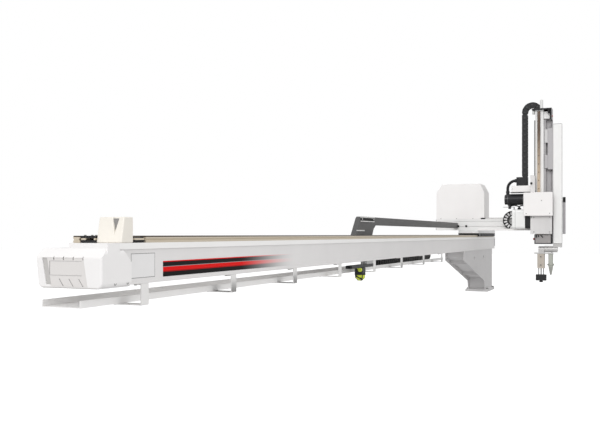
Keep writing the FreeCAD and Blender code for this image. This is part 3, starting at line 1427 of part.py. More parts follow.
def wrist_bracket():
    """The block under the outer profile with the turning unit's drum."""
    low_left = s.drum_left_y
    top = s.outer_low_z
    drum_top = s.drum_z + s.drum_radius
    right = s.outer_right_y + s.wrist_inset
    low = drum_top - s.wrist_step
    outline = [(right, low), (low_left, low), (low_left, drum_top + 1), (outer_left_y, drum_top + 1),
               (outer_left_y, top), (right, top)]
    half = s.drum_radius
    body = new_body("wrist_block")
    pad(body, "X", outline, half * 2, head_x - half)
    drum = cylinder("wrist_drum", (head_x, s.drum_right_y, s.drum_z), s.drum_radius,
                    s.drum_left_y - s.drum_right_y, "Y")
    bore = cylinder("wrist_bore", (head_x, s.drum_left_y - s.wrist_bore_depth, s.drum_z),
                    s.rod_radius + s.fit_gap, s.wrist_bore_depth + 1, "Y")
    return node(cut("wrist_bracket_cut", fuse("wrist_bracket_fuse", [body, drum]), [bore]),
                "wrist_bracket")


# Gripping head, which turns about the drum's axis

hub_right = s.drum_left_y + s.hub_gap


def head_plate():
    half = s.head_plate_depth / 2
    plate = box("plate", (head_x - half, s.head_plate_right_y, s.head_plate_z),
                (s.head_plate_depth, s.head_plate_left_y - s.head_plate_right_y, s.head_plate_thick))
    hub = cylinder("head_hub", (head_x, hub_right, s.drum_z), s.hub_radius, s.hub_length, "Y")
    shaft = cylinder("head_shaft", (head_x, hub_right - s.shaft_inside, s.drum_z), s.rod_radius,
                     s.shaft_inside + 1, "Y")
    foot = box("hub_foot", (head_x - s.hub_radius, hub_right, s.head_plate_z + 1),
               (s.hub_radius * 2, s.hub_length, s.drum_z - s.head_plate_z - 1))
    return node(fuse("head_plate_fuse", [plate, hub, shaft, foot]), "head_plate")


cylinder_mid_y = s.cylinder_left_y - s.cylinder_width / 2
cylinder_low = s.head_plate_z - s.cylinder_height


def product_cylinder():
    """The guided cylinder's body with bores for the two guide rods and the piston rod."""
    half = s.cylinder_depth / 2
    right = s.cylinder_left_y - s.cylinder_width
    body = prism("product_cylinder", "Z", rectangle(head_x - half, right, head_x + half,
                                                    s.cylinder_left_y),
                 s.cylinder_height, cylinder_low, bevel_edges=s.block_bevel)
    bores = [(head_x, cylinder_mid_y + side * s.rod_spacing / 2, s.rod_radius + s.fit_gap)
             for side in (-1, 1)]
    bores.append((head_x, cylinder_mid_y, s.piston_radius + s.fit_gap))
    pocket(body, "Z", None, s.rod_inside + s.product_stroke + s.bore_reserve, cylinder_low, bores)
    return node(body, "product_cylinder")


rod_block_top = cylinder_low - s.rod_show


def cylinder_rods():
    length = s.rod_show + s.rod_inside
    rods = [cylinder("guide_rod", (head_x, cylinder_mid_y + side * s.rod_spacing / 2, rod_block_top),
                     s.rod_radius, length) for side in (-1, 1)]
    rods.append(cylinder("piston_rod", (head_x, cylinder_mid_y, rod_block_top), s.piston_radius, length))
    return rods


def product_slide():
    """The end block with its tip, on two guide rods and the piston rod."""
    half = s.rod_block_width / 2
    low = rod_block_top - s.rod_block_height
    deep = s.rod_block_depth / 2
    body = prism("rod_block_body", "Z", rectangle(head_x - deep, cylinder_mid_y - half, head_x + deep,
                                                  cylinder_mid_y + half),
                 s.rod_block_height, low, bevel_edges=s.block_bevel)
    tip_deep = s.rod_tip_depth / 2
    tip_half = s.rod_tip_width / 2
    pad(body, "Z", rectangle(head_x - tip_deep, cylinder_mid_y - tip_half, head_x + tip_deep,
                             cylinder_mid_y + tip_half), s.rod_tip_height + 1, low - s.rod_tip_height)
    holes = [(head_x + i * s.tool_hole_spacing_x / 2, cylinder_mid_y + j * s.tool_hole_spacing_y / 2,
              s.tool_hole_radius) for i in (-1, 1) for j in (-1, 1)]
    pocket(body, "Z", None, s.tool_hole_depth, low, holes)
    return node(fuse("product_slide_fuse", [body] + cylinder_rods()), "product_slide")


gripper_low = s.head_plate_z - s.gripper_height
jaw_pivot_z = gripper_low - s.collar_height - s.jaw_pin_drop


def sprue_gripper():
    """The sprue gripper's body with its collar and the two ears that hold the jaws."""
    half = s.gripper_width / 2
    body = prism("gripper_case", "Z", rectangle(head_x - half, s.gripper_y - half, head_x + half,
                                                s.gripper_y + half),
                 s.gripper_height, gripper_low, bevel_edges=s.block_bevel)
    collar_low = gripper_low - s.collar_height
    collar = cylinder("gripper_collar", (head_x, s.gripper_y, collar_low), s.collar_radius,
                      s.collar_height)
    near = s.jaw_depth / 2 + s.jaw_gap
    ears = [box("gripper_ear", (x, s.gripper_y - half, collar_low - s.ear_height),
                (s.ear_thick, s.gripper_width, s.ear_height + 1))
            for x in (head_x - near - s.ear_thick, head_x + near)]
    pins = [cylinder("jaw_pin", (head_x - s.jaw_depth / 2 - s.jaw_pin_end,
                                 s.gripper_y + side * (s.jaw_width / 2 + 1), jaw_pivot_z),
                     s.jaw_pin_radius, s.jaw_depth + s.jaw_pin_end * 2, "X") for side in (-1, 1)]
    return node(fuse("sprue_gripper_fuse", [body, collar] + ears + pins), "sprue_gripper")


def gripper_jaw(label, side):
    """A jaw that hangs from its pin and narrows to its tip."""
    y = s.gripper_y + side * (s.jaw_width / 2 + 1)
    half = s.jaw_width / 2
    inner = y - side * half
    outer = y + side * half
    low = jaw_pivot_z - s.jaw_length
    head = jaw_pivot_z + s.jaw_head
    outline = [(inner, low), (inner, head), (outer, head), (outer, jaw_pivot_z - s.jaw_shoulder),
               (inner + side * s.jaw_tip_cut, low)]
    if side < 0:
        outline.reverse()
    depth = s.jaw_depth
    body = prism(label, "X", outline, depth, head_x - depth / 2)
    pocket(body, "X", None, depth, head_x - depth / 2, [(y, jaw_pivot_z, s.jaw_pin_radius + s.fit_gap)])
    return node(body, label)


# The whole robot

base_plate()
foot_gussets()
foot_skin()
foot_plates()
traverse_beam()
beam_end_plate()
end_cover()
entry_cover()
guide_rails()
end_stops()
traverse_belt()
cable_tray()
tray_hangers()
air_regulator()
regulator_knob()
traverse_chain()
traverse_blocks()
carriage_plate()
traverse_drive()
cover_box()
cross_beam()
cross_rails()
chain_shelf()
cable_arm()
cross_chain()
saddle_bracket()
saddle_side()
saddle_front()
saddle_cover()
saddle_blocks()
arm_servo()
cross_motor()
equipment_shelf()
valve_unit()
motor_hose()
arm_chain()
stage_profile()
stage_web()
stage_rails()
top_bracket()
bottom_frame()
stage_pulley("pulley_low", pulley_low_z)
stage_pulley("pulley_high", pulley_high_z)
stage_belt()
outer_profile()
slide_carriage()
wrist_bracket()
head_plate()
product_cylinder()
product_slide()
sprue_gripper()
gripper_jaw("jaw_left", 1)
gripper_jaw("jaw_right", -1)

doc.recompute()
for item in doc.Objects:
    if "Invalid" in item.State or "Error" in item.State:
        raise RuntimeError(f"{item.Label} failed: {item.State}")
for item in NODES:
    if item.Shape.isNull() or not item.Shape.isValid():
        raise RuntimeError(f"{item.Label} has no valid shape")

os.makedirs("parts", exist_ok=True)
for item in NODES:
    item.Shape.exportStep(os.path.join("parts", f"{item.Label}.step"))
print(len(NODES), "sub-parts written")
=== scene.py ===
import math

import bmesh
import bpy
from mathutils import Matrix, Vector


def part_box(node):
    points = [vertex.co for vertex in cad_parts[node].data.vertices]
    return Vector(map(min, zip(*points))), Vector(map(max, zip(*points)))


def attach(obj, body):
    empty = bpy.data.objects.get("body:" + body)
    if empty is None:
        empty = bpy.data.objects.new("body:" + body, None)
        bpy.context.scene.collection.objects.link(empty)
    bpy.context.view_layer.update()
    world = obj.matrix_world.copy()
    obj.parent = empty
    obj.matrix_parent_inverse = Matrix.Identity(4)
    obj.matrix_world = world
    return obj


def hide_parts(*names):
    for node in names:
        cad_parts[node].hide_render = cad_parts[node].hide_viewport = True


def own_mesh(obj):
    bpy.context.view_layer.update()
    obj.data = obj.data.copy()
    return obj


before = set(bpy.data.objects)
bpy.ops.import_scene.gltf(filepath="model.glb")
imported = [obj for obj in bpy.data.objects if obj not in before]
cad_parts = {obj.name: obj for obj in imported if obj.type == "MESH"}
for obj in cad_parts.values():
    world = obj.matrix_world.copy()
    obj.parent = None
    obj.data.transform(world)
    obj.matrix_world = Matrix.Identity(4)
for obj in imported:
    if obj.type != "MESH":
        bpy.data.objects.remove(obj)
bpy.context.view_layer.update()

scene = bpy.context.scene
scene.view_settings.view_transform = "Standard"

# Camera at the free end of the beam, a little above the beam's top and to its right, looking
# level towards the foot.
lens = bpy.data.cameras.new("camera")
lens.lens = 45
lens.sensor_width = 36
lens.shift_y = 20.5 / 600
lens.clip_end = 100
camera = bpy.data.objects.new("camera", lens)
camera.location = (-6.379, -1.165, 0.466)
camera.rotation_euler = (math.radians(90), 0, math.radians(-66.12))
scene.collection.objects.link(camera)
scene.camera = camera


# Studio: a soft even surround that the camera sees as plain white, a broad sun from the free end,
# a weak one from above and a panel lamp at the arm's side. A pale floor lies well below the arm.
def tune(node, **values):
    """Sets inputs of a shader node, with _ for each space in their names."""
    for name, value in values.items():
        node.inputs[name.replace("_", " ")].default_value = value
    return node


def add(tree, kind, links=(), **values):
    """A new shader node with some inputs linked and some set."""
    made = tune(tree.nodes.new("ShaderNode" + kind), **values)
    for source, name in links:
        tree.links.new(source, made.inputs[name])
    return made


def hang(name, kind, energy, direction, location=(0, 0, 0)):
    """A lamp that shines in a direction."""
    lamp = bpy.data.lights.new(name, kind)
    lamp.energy = energy
    hung = bpy.data.objects.new(name, lamp)
    hung.location = location
    hung.rotation_euler = Vector(direction).to_track_quat("-Z", "Y").to_euler()
    scene.collection.objects.link(hung)
    return lamp


world = bpy.data.worlds.new("studio")
world.use_nodes = True
surround = world.node_tree
surround.nodes.clear()
seen = add(surround, "LightPath").outputs["Is Camera Ray"]
soft_light = add(surround, "Background", Color=(1, 1, 1, 1), Strength=0.74)
white = add(surround, "Background", Color=(1, 1, 1, 1), Strength=1.0)
either = add(surround, "MixShader", [(seen, 0), (soft_light.outputs[0], 1), (white.outputs[0], 2)])
add(surround, "OutputWorld", [(either.outputs[0], "Surface")])
scene.world = world

hang("key", "SUN", 1.10, (0.86, -0.02, -0.40)).angle = math.radians(30)
hang("overhead", "SUN", 0.20, (0.25, 0.05, -1.0)).angle = math.radians(60)
panel = hang("side_panel", "AREA", 14, (0.35, 2.4, -0.95), (-4.9, -2.4, 1.3))
panel.shape = "RECTANGLE"
panel.size = 2.2
panel.size_y = 1.2

FLOOR_LEVEL = -1.25
FLOOR_GREY = 0.62
bm = bmesh.new()
bmesh.ops.create_grid(bm, x_segments=1, y_segments=1, size=60)
bmesh.ops.translate(bm, verts=bm.verts, vec=(0, 0, FLOOR_LEVEL))
floor_mesh = bpy.data.meshes.new("floor")
bm.to_mesh(floor_mesh)
bm.free()
floor = bpy.data.objects.new("floor", floor_mesh)
scene.collection.objects.link(floor)
floor_paint = bpy.data.materials.new("floor_paint")
floor_paint.use_nodes = True
floor_tree = floor_paint.node_tree
floor_shader = tune(floor_tree.nodes["Principled BSDF"], Roughness=0.9,
                    Base_Color=(FLOOR_GREY, FLOOR_GREY, FLOOR_GREY, 1),
                    Emission_Color=(1, 1, 1, 1))
seen = add(floor_tree, "LightPath").outputs["Is Camera Ray"]
floor_glow = add(floor_tree, "Math", [(seen, 0)])
floor_glow.operation = "MULTIPLY"
floor_glow.inputs[1].default_value = 0.62
floor_tree.links.new(floor_glow.outputs[0], floor_shader.inputs["Emission Strength"])
floor_mesh.materials.append(floor_paint)


# Foot: steel plates cut by laser, welded together and powder coated light grey. Two side gussets
# stand on a thick base plate that four hexagon bolts hold to the machine's fixed platen.
def coated(name, colour, rough=0.42, grain=420, bump=0.04, patchy=0.05, metallic=0.0, coat=0.0):
    """Paint, powder coat or moulded plastic: fine grain, faint patches of tone and of gloss.
    Blacks reflect less than the rest."""
    material = bpy.data.materials.new(name)
    material.use_nodes = True
    tree = material.node_tree
    shader = tune(tree.nodes["Principled BSDF"], Metallic=metallic, Coat_Weight=coat,
                  Coat_Roughness=0.12, Specular_IOR_Level=0.2 if max(colour) < 0.07 else 0.5)
    place = add(tree, "TexCoord").outputs["Object"]
    cloud = add(tree, "TexNoise", [(place, "Vector")], Scale=7, Detail=6).outputs["Fac"]
    tone = add(tree, "ValToRGB", [(cloud, "Fac")])
    dark = [c * (1 - patchy) for c in colour]
    for element, spot, shade in zip(tone.color_ramp.elements, (0.35, 0.65), (dark, colour)):
        element.position = spot
        element.color = (*shade, 1)
    gloss = add(tree, "MapRange", [(cloud, "Value")], To_Min=rough * 0.85,
                To_Max=min(1, rough * 1.2))
    peel = add(tree, "TexNoise", [(place, "Vector")], Scale=grain, Detail=3)
    relief = add(tree, "Bump", [(peel.outputs["Fac"], "Height")], Strength=bump, Distance=0.002)
    tree.links.new(tone.outputs["Color"], shader.inputs["Base Color"])
    tree.links.new(gloss.outputs["Result"], shader.inputs["Roughness"])
    tree.links.new(relief.outputs["Normal"], shader.inputs["Normal"])
    return material


def piece(name, bm, material, body, replaced=(), smooth=35, recalculate=True):
    """Makes a finished mesh a piece that rides on a body and may stand for CAD nodes. Its large
    faces shade flat and its eased edges soft."""
    if recalculate:
        bmesh.ops.recalc_face_normals(bm, faces=bm.faces)
    mesh = bpy.data.meshes.new(name)
    bm.to_mesh(mesh)
    bm.free()
    mesh.polygons.foreach_set("use_smooth", [True] * len(mesh.polygons))
    mesh.set_sharp_from_angle(angle=math.radians(smooth))
    for one in material if isinstance(material, list) else [material]:
        mesh.materials.append(one)
    made = bpy.data.objects.new(name, mesh)
    scene.collection.objects.link(made)
    shading = made.modifiers.new("shading", "WEIGHTED_NORMAL")
    shading.keep_sharp = True
    shading.weight = 80
    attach(made, body)
    if replaced:
        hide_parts(*replaced)
    return made


def ease(bm, edges, width, segments=2, clamp=False):
    """Rounds edges of a mesh."""
    bmesh.ops.bevel(bm, geom=edges, offset=width, segments=segments, profile=0.5, affect="EDGES",
                    material=-1, clamp_overlap=clamp)


def softened(node, width, material, body, segments=2, cuts=(), finish=None):
    """A CAD solid with its hard edges eased, in place of the solid. Cuts part its faces across
    an axis, and finish(centre, normal) picks the material of each face by its number."""
    bm = bmesh.new()
    bm.from_mesh(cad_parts[node].data)
    bmesh.ops.remove_doubles(bm, verts=bm.verts, dist=1e-6)
    bmesh.ops.dissolve_limit(bm, angle_limit=math.radians(0.3), verts=bm.verts, edges=bm.edges)
    shared = {v for e in bm.edges if len(e.link_faces) > 2 for v in e.verts}
    hard = [e for e in bm.edges if len(e.link_faces) == 2
            and e.calc_face_angle(0) > math.radians(28) and not shared.intersection(e.verts)]
    ease(bm, hard, width, segments, clamp=True)
    for axis, place in cuts:
        plane = Vector((axis == "X", axis == "Y", axis == "Z"))
        bmesh.ops.bisect_plane(bm, geom=bm.verts[:] + bm.edges[:] + bm.faces[:], dist=1e-6,
                               plane_co=plane * place, plane_no=plane)
    if finish:
        for face in bm.faces:
            face.material_index = finish(face.calc_center_median(), face.normal)
    return piece(node + "_finish", bm, material, body, [node], recalculate=False)


def block(bm, low, high):
    """A rectangular block between two corners."""
    size = Vector(high) - Vector(low)
    middle = (Vector(high) + Vector(low)) / 2
    made = bmesh.ops.create_cube(bm, size=1, matrix=Matrix.LocRotScale(middle, None, size))
    return made["verts"]


def rod(bm, start, end, radius, segments=20, end_radius=None):
    """A round rod, or a cone if its end has another radius."""
    start, end = Vector(start), Vector(end)
    along = end - start
    place = Matrix.LocRotScale((start + end) / 2, along.to_track_quat("Z", "Y"), None)
    made = bmesh.ops.create_cone(bm, cap_ends=True, cap_tris=False, segments=segments,
                                 radius1=radius, depth=along.length, matrix=place,
                                 radius2=radius if end_radius is None else end_radius)
    return made["verts"]


def screw(bm, seat, facing, radius, height, corners=16):
    """A screw head on its seat, with a socket sunk in it. Six corners make a hexagon bolt."""
    facing = Vector(facing)
    head = rod(bm, seat, Vector(seat) + facing * height, radius, corners)
    faces = {face for vert in head for face in vert.link_faces}
    top = max(faces, key=lambda face: face.calc_center_median().dot(facing))
    if corners > 6:
        bmesh.ops.inset_region(bm, faces=[top], thickness=radius * 0.42, depth=0)
        bmesh.ops.inset_region(bm, faces=[top], thickness=radius * 0.02, depth=-height * 0.5)
    else:
        bmesh.ops.inset_region(bm, faces=[top], thickness=radius * 0.12, depth=height * 0.08)


foot_paint = coated("foot_paint", (0.63, 0.618, 0.618), rough=0.45)
softened("base_plate", 0.002, foot_paint, "base")
softened("foot_gussets", 0.0015, foot_paint, "base")
softened("foot_skin", 0.001, foot_paint, "base")
softened("foot_plates", 0.001, foot_paint, "base")

bolt_steel = coated("bolt_steel", (0.42, 0.42, 0.41), rough=0.34, grain=900, patchy=0.15,
                    metallic=0.85)
foot_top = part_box("base_plate")[1].z
washer_top = foot_top + 0.0018
bm = bmesh.new()
for x in (-0.135, 0.135):
    for y in (-0.080, 0.080):
        rod(bm, (x, y, foot_top), (x, y, washer_top), 0.0098, 24)
        screw(bm, (x, y, washer_top), (0, 0, 1), 0.0088, 0.0065, 6)
piece("foot_bolts", bm, bolt_steel, "base")

# Weld beads along the gussets: laid by hand as short overlapping ripples, under the same powder
# coat as the plates.
weld_paint = coated("weld_paint", (0.64, 0.63, 0.63), rough=0.5, grain=160, bump=0.25)
gusset_low, gusset_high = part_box("foot_gussets")


def bead(bm, start, end, radius, pitch=0.006):
    """A weld bead: a row of low ripples."""
    start, end = Vector(start), Vector(end)
    count = max(1, int((end - start).length / pitch))
    step = (end - start) / count
    for i in range(count):
        at = start + step * (i + 0.5)
        place = Matrix.LocRotScale(at, step.to_track_quat("X", "Z"), Vector((1.0, 0.72, 0.72)))
        bmesh.ops.create_uvsphere(bm, u_segments=8, v_segments=4, radius=radius, matrix=place)


bm = bmesh.new()
weld_z = foot_top + 0.001
for y in (gusset_low.y - 0.0005, gusset_high.y + 0.0005):
    bead(bm, (-0.170, y, weld_z), (0.146, y, weld_z), 0.0042)
weld_x = gusset_high.x - 0.0005
for y in (gusset_low.y + 0.0085, gusset_high.y - 0.0085):
    bead(bm, (weld_x, y, 0.03), (weld_x, y, 0.32), 0.0034)
piece("foot_welds", bm, weld_paint, "base", smooth=60)


# Traverse beam: an aluminium extrusion with a lip along both edges of its side, sprayed white and
# closed by a grey sheet plate that four screws hold at the foot end.
def screws(name, body, *rows, metal=bolt_steel):
    """Screw heads as one piece. Each row has its seats, facing, radius and height."""
    bm = bmesh.new()
    for seats, facing, radius, height in rows:
        for seat in seats:
            screw(bm, seat, facing, radius, height)
    piece(name, bm, metal, body)


BEAM_WHITE = (0.80, 0.785, 0.78)
beam_paint = coated("beam_paint", BEAM_WHITE, rough=0.36, grain=520, bump=0.03, patchy=0.03)
# The upper lip of the side gets a whiter copy of the beam's paint. This is a painted highlight
# where the lip faces up into the light.
lip_painted_highlight = coated("lip_painted_highlight", (0.93, 0.92, 0.91), rough=0.36, grain=520, bump=0.03, patchy=0.02)
softened("traverse_beam", 0.0012, [beam_paint, lip_painted_highlight], "base",
         finish=lambda centre, normal: centre.z > 0.4345 and abs(centre.y) > 0.0668)
end_plate_paint = coated("end_plate_paint", (0.52, 0.52, 0.525), rough=0.4)
softened("beam_end_plate", 0.001, end_plate_paint, "base")
plate_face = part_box("beam_end_plate")[1].x
plate_seats = ((-0.055, 0.432), (0.055, 0.432), (0.055, 0.360), (-0.036, 0.360))
screws("end_plate_screws", "base",
       ([(plate_face - 0.0026, y, z) for y, z in plate_seats], (1, 0, 0), 0.0050, 0.0026))

# Printed films on the beam's side: plain bands that fade out towards the foot, and a bare grey
# plate with a thin dark border near the cap.
WEB_Y = -0.066
FILM_LOW, FILM_HIGH = 0.358, 0.398
BAND_TONES = ((0.0, (0.004, 0.004, 0.004)), (0.30, (0.36, 0.002, 0.002)),
              (0.37, (0.75, 0.002, 0.002)), (0.62, (0.30, 0.30, 0.30)),
              (0.66, (0.005, 0.005, 0.005)), (0.93, (0.75, 0.002, 0.002)))


def found(tree, kind):
    """The first node of a kind in a material."""
    return next(n for n in tree.nodes if n.type == kind)


def banded_film(name, fade_x, end_x):
    """Bands across the film's height, fading to the beam's white along its length."""
    material = coated(name, (0.8, 0.8, 0.8), rough=0.5, grain=900, bump=0.015)
    tree = material.node_tree
    shader = tune(tree.nodes["Principled BSDF"], Specular_IOR_Level=0.12)
    place = found(tree, "TEX_COORD").outputs["Object"]
    axes = add(tree, "SeparateXYZ", [(place, "Vector")])
    height = add(tree, "MapRange", [(axes.outputs["Z"], "Value")], From_Min=FILM_LOW,
                 From_Max=FILM_HIGH)
    bands = add(tree, "ValToRGB", [(height.outputs["Result"], "Fac")])
    bands.color_ramp.interpolation = "CONSTANT"
    for spot, colour in BAND_TONES[2:]:
        bands.color_ramp.elements.new(spot)
    for element, (spot, colour) in zip(bands.color_ramp.elements, BAND_TONES):
        element.position = spot
        element.color = (*colour, 1)
    run = add(tree, "MapRange", [(axes.outputs["X"], "Value")], From_Min=fade_x, From_Max=end_x)
    run.interpolation_type = "SMOOTHSTEP"
    fade = add(tree, "Mix")
    fade.data_type = "RGBA"
    fade.inputs[7].default_value = (*BEAM_WHITE, 1)
    tree.links.new(run.outputs["Result"], fade.inputs[0])
    tree.links.new(bands.outputs["Color"], fade.inputs[6])
    tree.links.new(fade.outputs[2], shader.inputs["Base Color"])
    return material


bm = bmesh.new()
block(bm, (-4.764, WEB_Y - 0.0004, FILM_LOW), (-3.897, WEB_Y + 0.0004, FILM_HIGH))
piece("beam_stripes", bm, banded_film("stripe_film", -4.36, -3.93), "base")
label_grey = coated("label_grey", (0.84, 0.83, 0.83), rough=0.3, grain=900, bump=0.015)
label_dark = coated("label_dark", (0.10, 0.10, 0.10), rough=0.35, grain=900, bump=0.015)
bm = bmesh.new()
block(bm, (-4.898, WEB_Y - 0.0003, 0.360), (-4.800, WEB_Y + 0.0004, 0.420))
label_front = [face for face in bm.faces if face.normal.y < -0.9]
bmesh.ops.inset_region(bm, faces=label_front, thickness=0.0016, depth=0)
for face in bm.faces:
    face.material_index = face not in label_front
piece("bare_plate", bm, [label_grey, label_dark], "base")


# Free end: a white injection-moulded cap with a slanted front panel, and behind it the cream block
# where cables enter. A grey wedge in its notch is painted shade.
white_plastic = coated("white_plastic", (0.90, 0.885, 0.88), rough=0.3, grain=900, bump=0.02,
                       patchy=0.02, coat=0.15)
panel_plastic = coated("panel_plastic", (0.76, 0.735, 0.72), rough=0.42, grain=700, bump=0.05,
                       patchy=0.03)
# The next two greys are painted shade for the walls and the deeper band of the panel's recesses.
groove_painted_shade = coated("groove_painted_shade", (0.40, 0.395, 0.39), rough=0.5, grain=700, bump=0.05)
band_painted_shade = coated("band_painted_shade", (0.56, 0.545, 0.53), rough=0.45, grain=700, bump=0.05)
cap_low, cap_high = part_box("end_cover")


def cap_finish(centre, normal):
    """The sunk panel is grained grey. The walls of its grooves and plate edges, and the floor of
    its deeper band, are painted darker as painted shade.
    """
    depth = centre.x - cap_low.x
    inside = -0.04 < centre.y < 0.094 and 0.338 < centre.z < 0.4135
    if inside and 0.0004 < depth < 0.0045:
        if abs(normal.x) < 0.5:
            return 2
        return 3 if 0.0022 < depth < 0.0026 else 1
    return 0


softened("end_cover", 0.0005, [white_plastic, panel_plastic, groove_painted_shade, band_painted_shade], "base",
         finish=cap_finish)
# Thin dark strips along the top, side and bottom edges of the sunk plate are a painted shadow of
# its rim.
frame_left, frame_right, frame_top, frame_bottom = 0.0768, -0.0168, 0.4052, 0.3715
front_x = cap_low.x + 0.0014
bm = bmesh.new()
for low, high in (((frame_right, frame_top - 0.0009), (frame_left, frame_top)),
                  ((frame_left - 0.0009, frame_bottom), (frame_left, frame_top - 0.0009)),
                  ((frame_right, frame_bottom), (frame_left - 0.0009, frame_bottom + 0.0006))):
    block(bm, (front_x, *low), (front_x + 0.0008, *high))
piece("plate_edge_painted_shadow", bm, groove_painted_shade, "base")
cap_seats = ((cap_low.x + 0.050, 0.352), (cap_low.x + 0.050, 0.425), (cap_high.x - 0.014, 0.352))
screws("cap_screws", "base",
       ([(x, cap_low.y + 0.0020, z) for x, z in cap_seats], (0, -1, 0), 0.0042, 0.0018))

cream_plastic = coated("cream_plastic", (0.87, 0.83, 0.76), rough=0.4, grain=700, patchy=0.03)
softened("entry_cover", 0.003, cream_plastic, "base", 3)
entry_low, entry_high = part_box("entry_cover")
dark_rubber = coated("dark_rubber", (0.035, 0.035, 0.035), rough=0.6, grain=500, bump=0.12,
                     patchy=0.2)
# The grey wedge fills the block's notch as painted shade.
notch_painted_shade = coated("notch_painted_shade", (0.30, 0.29, 0.285), rough=0.6, grain=500, bump=0.12, patchy=0.2)
bm = bmesh.new()
notch_y = entry_low.y + 0.024
for vert in block(bm, (entry_low.x + 0.013, notch_y - 0.0085, entry_high.z - 0.033),
                  (entry_low.x + 0.0225, notch_y + 0.0085, entry_high.z - 0.004)):
    if vert.co.z < entry_high.z - 0.02:
        vert.co.y = notch_y + (vert.co.y - notch_y) * 0.12 + 0.001
piece("entry_notch_painted_shade", bm, notch_painted_shade, "base")


# Guide rails of ground steel, each with a dark strip snapped over its screw holes, and the drive
# belt of black polyurethane that lies between them with its teeth down.
def drawn(name, colour, axis, rough=0.32, metallic=0.8, lines=260, bump=0.05, patchy=0.1):
    """Extruded, ground or brushed metal: fine lines along one axis."""
    material = coated(name, colour, rough, lines, bump, patchy, metallic)
    tree = material.node_tree
    stretch = add(tree, "Mapping", [(found(tree, "TEX_COORD").outputs["Object"], "Vector")],
                  Scale=[0.012 if one == axis else 1.0 for one in "XYZ"])
    for noise in [n for n in tree.nodes if n.type == "TEX_NOISE"]:
        tree.links.new(stretch.outputs["Vector"], noise.inputs["Vector"])
    return material


def ribbed(name, colour, axis, pitch, rough=0.6, bump=0.5):
    """Rubber or plastic with even ribs across one axis."""
    material = coated(name, colour, rough, 500, 0.1, 0.2)
    tree = material.node_tree
    place = found(tree, "TEX_COORD").outputs["Object"]
    grain = found(tree, "BUMP").outputs["Normal"]
    ribs = add(tree, "TexWave", [(place, "Vector")], Scale=0.314 / pitch)
    ribs.bands_direction = axis
    relief = add(tree, "Bump", [(ribs.outputs["Fac"], "Height"), (grain, "Normal")],
                 Strength=bump, Distance=0.001)
    tree.links.new(relief.outputs["Normal"], tree.nodes["Principled BSDF"].inputs["Normal"])
    return material


rail_steel = drawn("rail_steel", (0.68, 0.60, 0.48), "X", rough=0.36, metallic=0.35)
strip_brown = drawn("strip_brown", (0.075, 0.055, 0.042), "X", rough=0.35, metallic=0.4)
strip_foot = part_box("guide_rails")[1].z - 0.0031
softened("guide_rails", 0.0006, [rail_steel, strip_brown], "base",
         finish=lambda centre, normal: centre.z > strip_foot)
belt_rubber = ribbed("belt_rubber", (0.035, 0.035, 0.035), "X", 0.008)
softened("traverse_belt", 0.0006, belt_rubber, "base")

# End stops: rubber bumpers on steel studs that stop the carriage, and the black ribbed clamps
# that hold the belt's ends, each with four screws.
STOP_CUT_LOW, STOP_CUT_HIGH = 0.4528, 0.4572
black_steel = coated("black_steel", (0.028, 0.028, 0.030), rough=0.42, patchy=0.2)
stop_low, stop_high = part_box("end_stops")


def stop_finish(centre, normal):
    """Clamps black with a bright belt edge, bumpers of rubber."""
    if STOP_CUT_LOW < centre.z < STOP_CUT_HIGH:
        return 2
    return 1 if abs(centre.y) > 0.048 else 0


softened("end_stops", 0.0008, [black_steel, dark_rubber, rail_steel], "base",
         cuts=[("Z", STOP_CUT_LOW), ("Z", STOP_CUT_HIGH)], finish=stop_finish)
clamp_rows = (stop_low.x + 0.010, stop_low.x + 0.036, stop_high.x - 0.038, stop_high.x - 0.012)
screws("belt_clamp_screws", "base",
       ([(x, y, 0.4630) for x in clamp_rows for y in (0.0085, 0.0415)], (0, 0, 1), 0.0030, 0.0022))


# Cable tray: a white sheet trough with rolled rims. It hangs under the beam on eight sheet
# strips, each bent twice and held by button head screws.
tray_paint = coated("tray_paint", (0.94, 0.93, 0.92), rough=0.38, patchy=0.03)
softened("cable_tray", 0.0005, tray_paint, "base")
tray_low, tray_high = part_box("cable_tray")
rim_z = tray_high.z - 0.0004
bm = bmesh.new()
for y in (tray_low.y + 0.001, tray_high.y - 0.001):
    rod(bm, (tray_low.x + 0.001, y, rim_z), (tray_high.x - 0.001, y, rim_z), 0.0013, 10)
piece("tray_rims", bm, tray_paint, "base")
hanger_paint = coated("hanger_paint", (0.84, 0.83, 0.82), rough=0.42)
softened("tray_hangers", 0.0006, hanger_paint, "base")
hanger_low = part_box("tray_hangers")[0]
hanger_places = [hanger_low.x + 0.0155 + 0.45 * i for i in range(8)]
screws("hanger_screws", "base",
       ([(x + side * 0.0085, -0.048, 0.343) for x in hanger_places for side in (-1, 1)],
        (0, 0, -1), 0.0042, 0.0024),
       ([(x, y, hanger_low.z + 0.0002) for x in hanger_places for y in (0.020, 0.078)],
        (0, 0, -1), 0.0038, 0.0020))


# Compressed-air regulator: a black drilled bar under a grey spacer, with the filter body and its
# lime bowl hanging from it behind a black guard. A grooved knob on its end sets the pressure.
regulator_black = coated("regulator_black", (0.03, 0.03, 0.032), rough=0.34, grain=700, patchy=0.2)
spacer_grey = drawn("spacer_grey", (0.50, 0.50, 0.50), "X", metallic=0.6)
lime_bowl = coated("lime_bowl", (0.62, 0.72, 0.02), rough=0.16, grain=300, bump=0.01, patchy=0.12,
                   coat=0.6)
air_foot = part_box("air_regulator")[0].z
BOWL_TOP = 0.292
bowl_axis = Vector((-3.204, -0.053, 0))


def regulator_finish(centre, normal):
    """Bowl below the body, spacer above the bar."""
    if centre.z < BOWL_TOP - 0.0002:
        return 2
    return 1 if centre.z > 0.3321 else 0


def bowl_rod(start, end, radius, segments):
    """A rod between two places measured from the bowl's axis."""
    rod(bm, bowl_axis + Vector(start), bowl_axis + Vector(end), radius, segments)


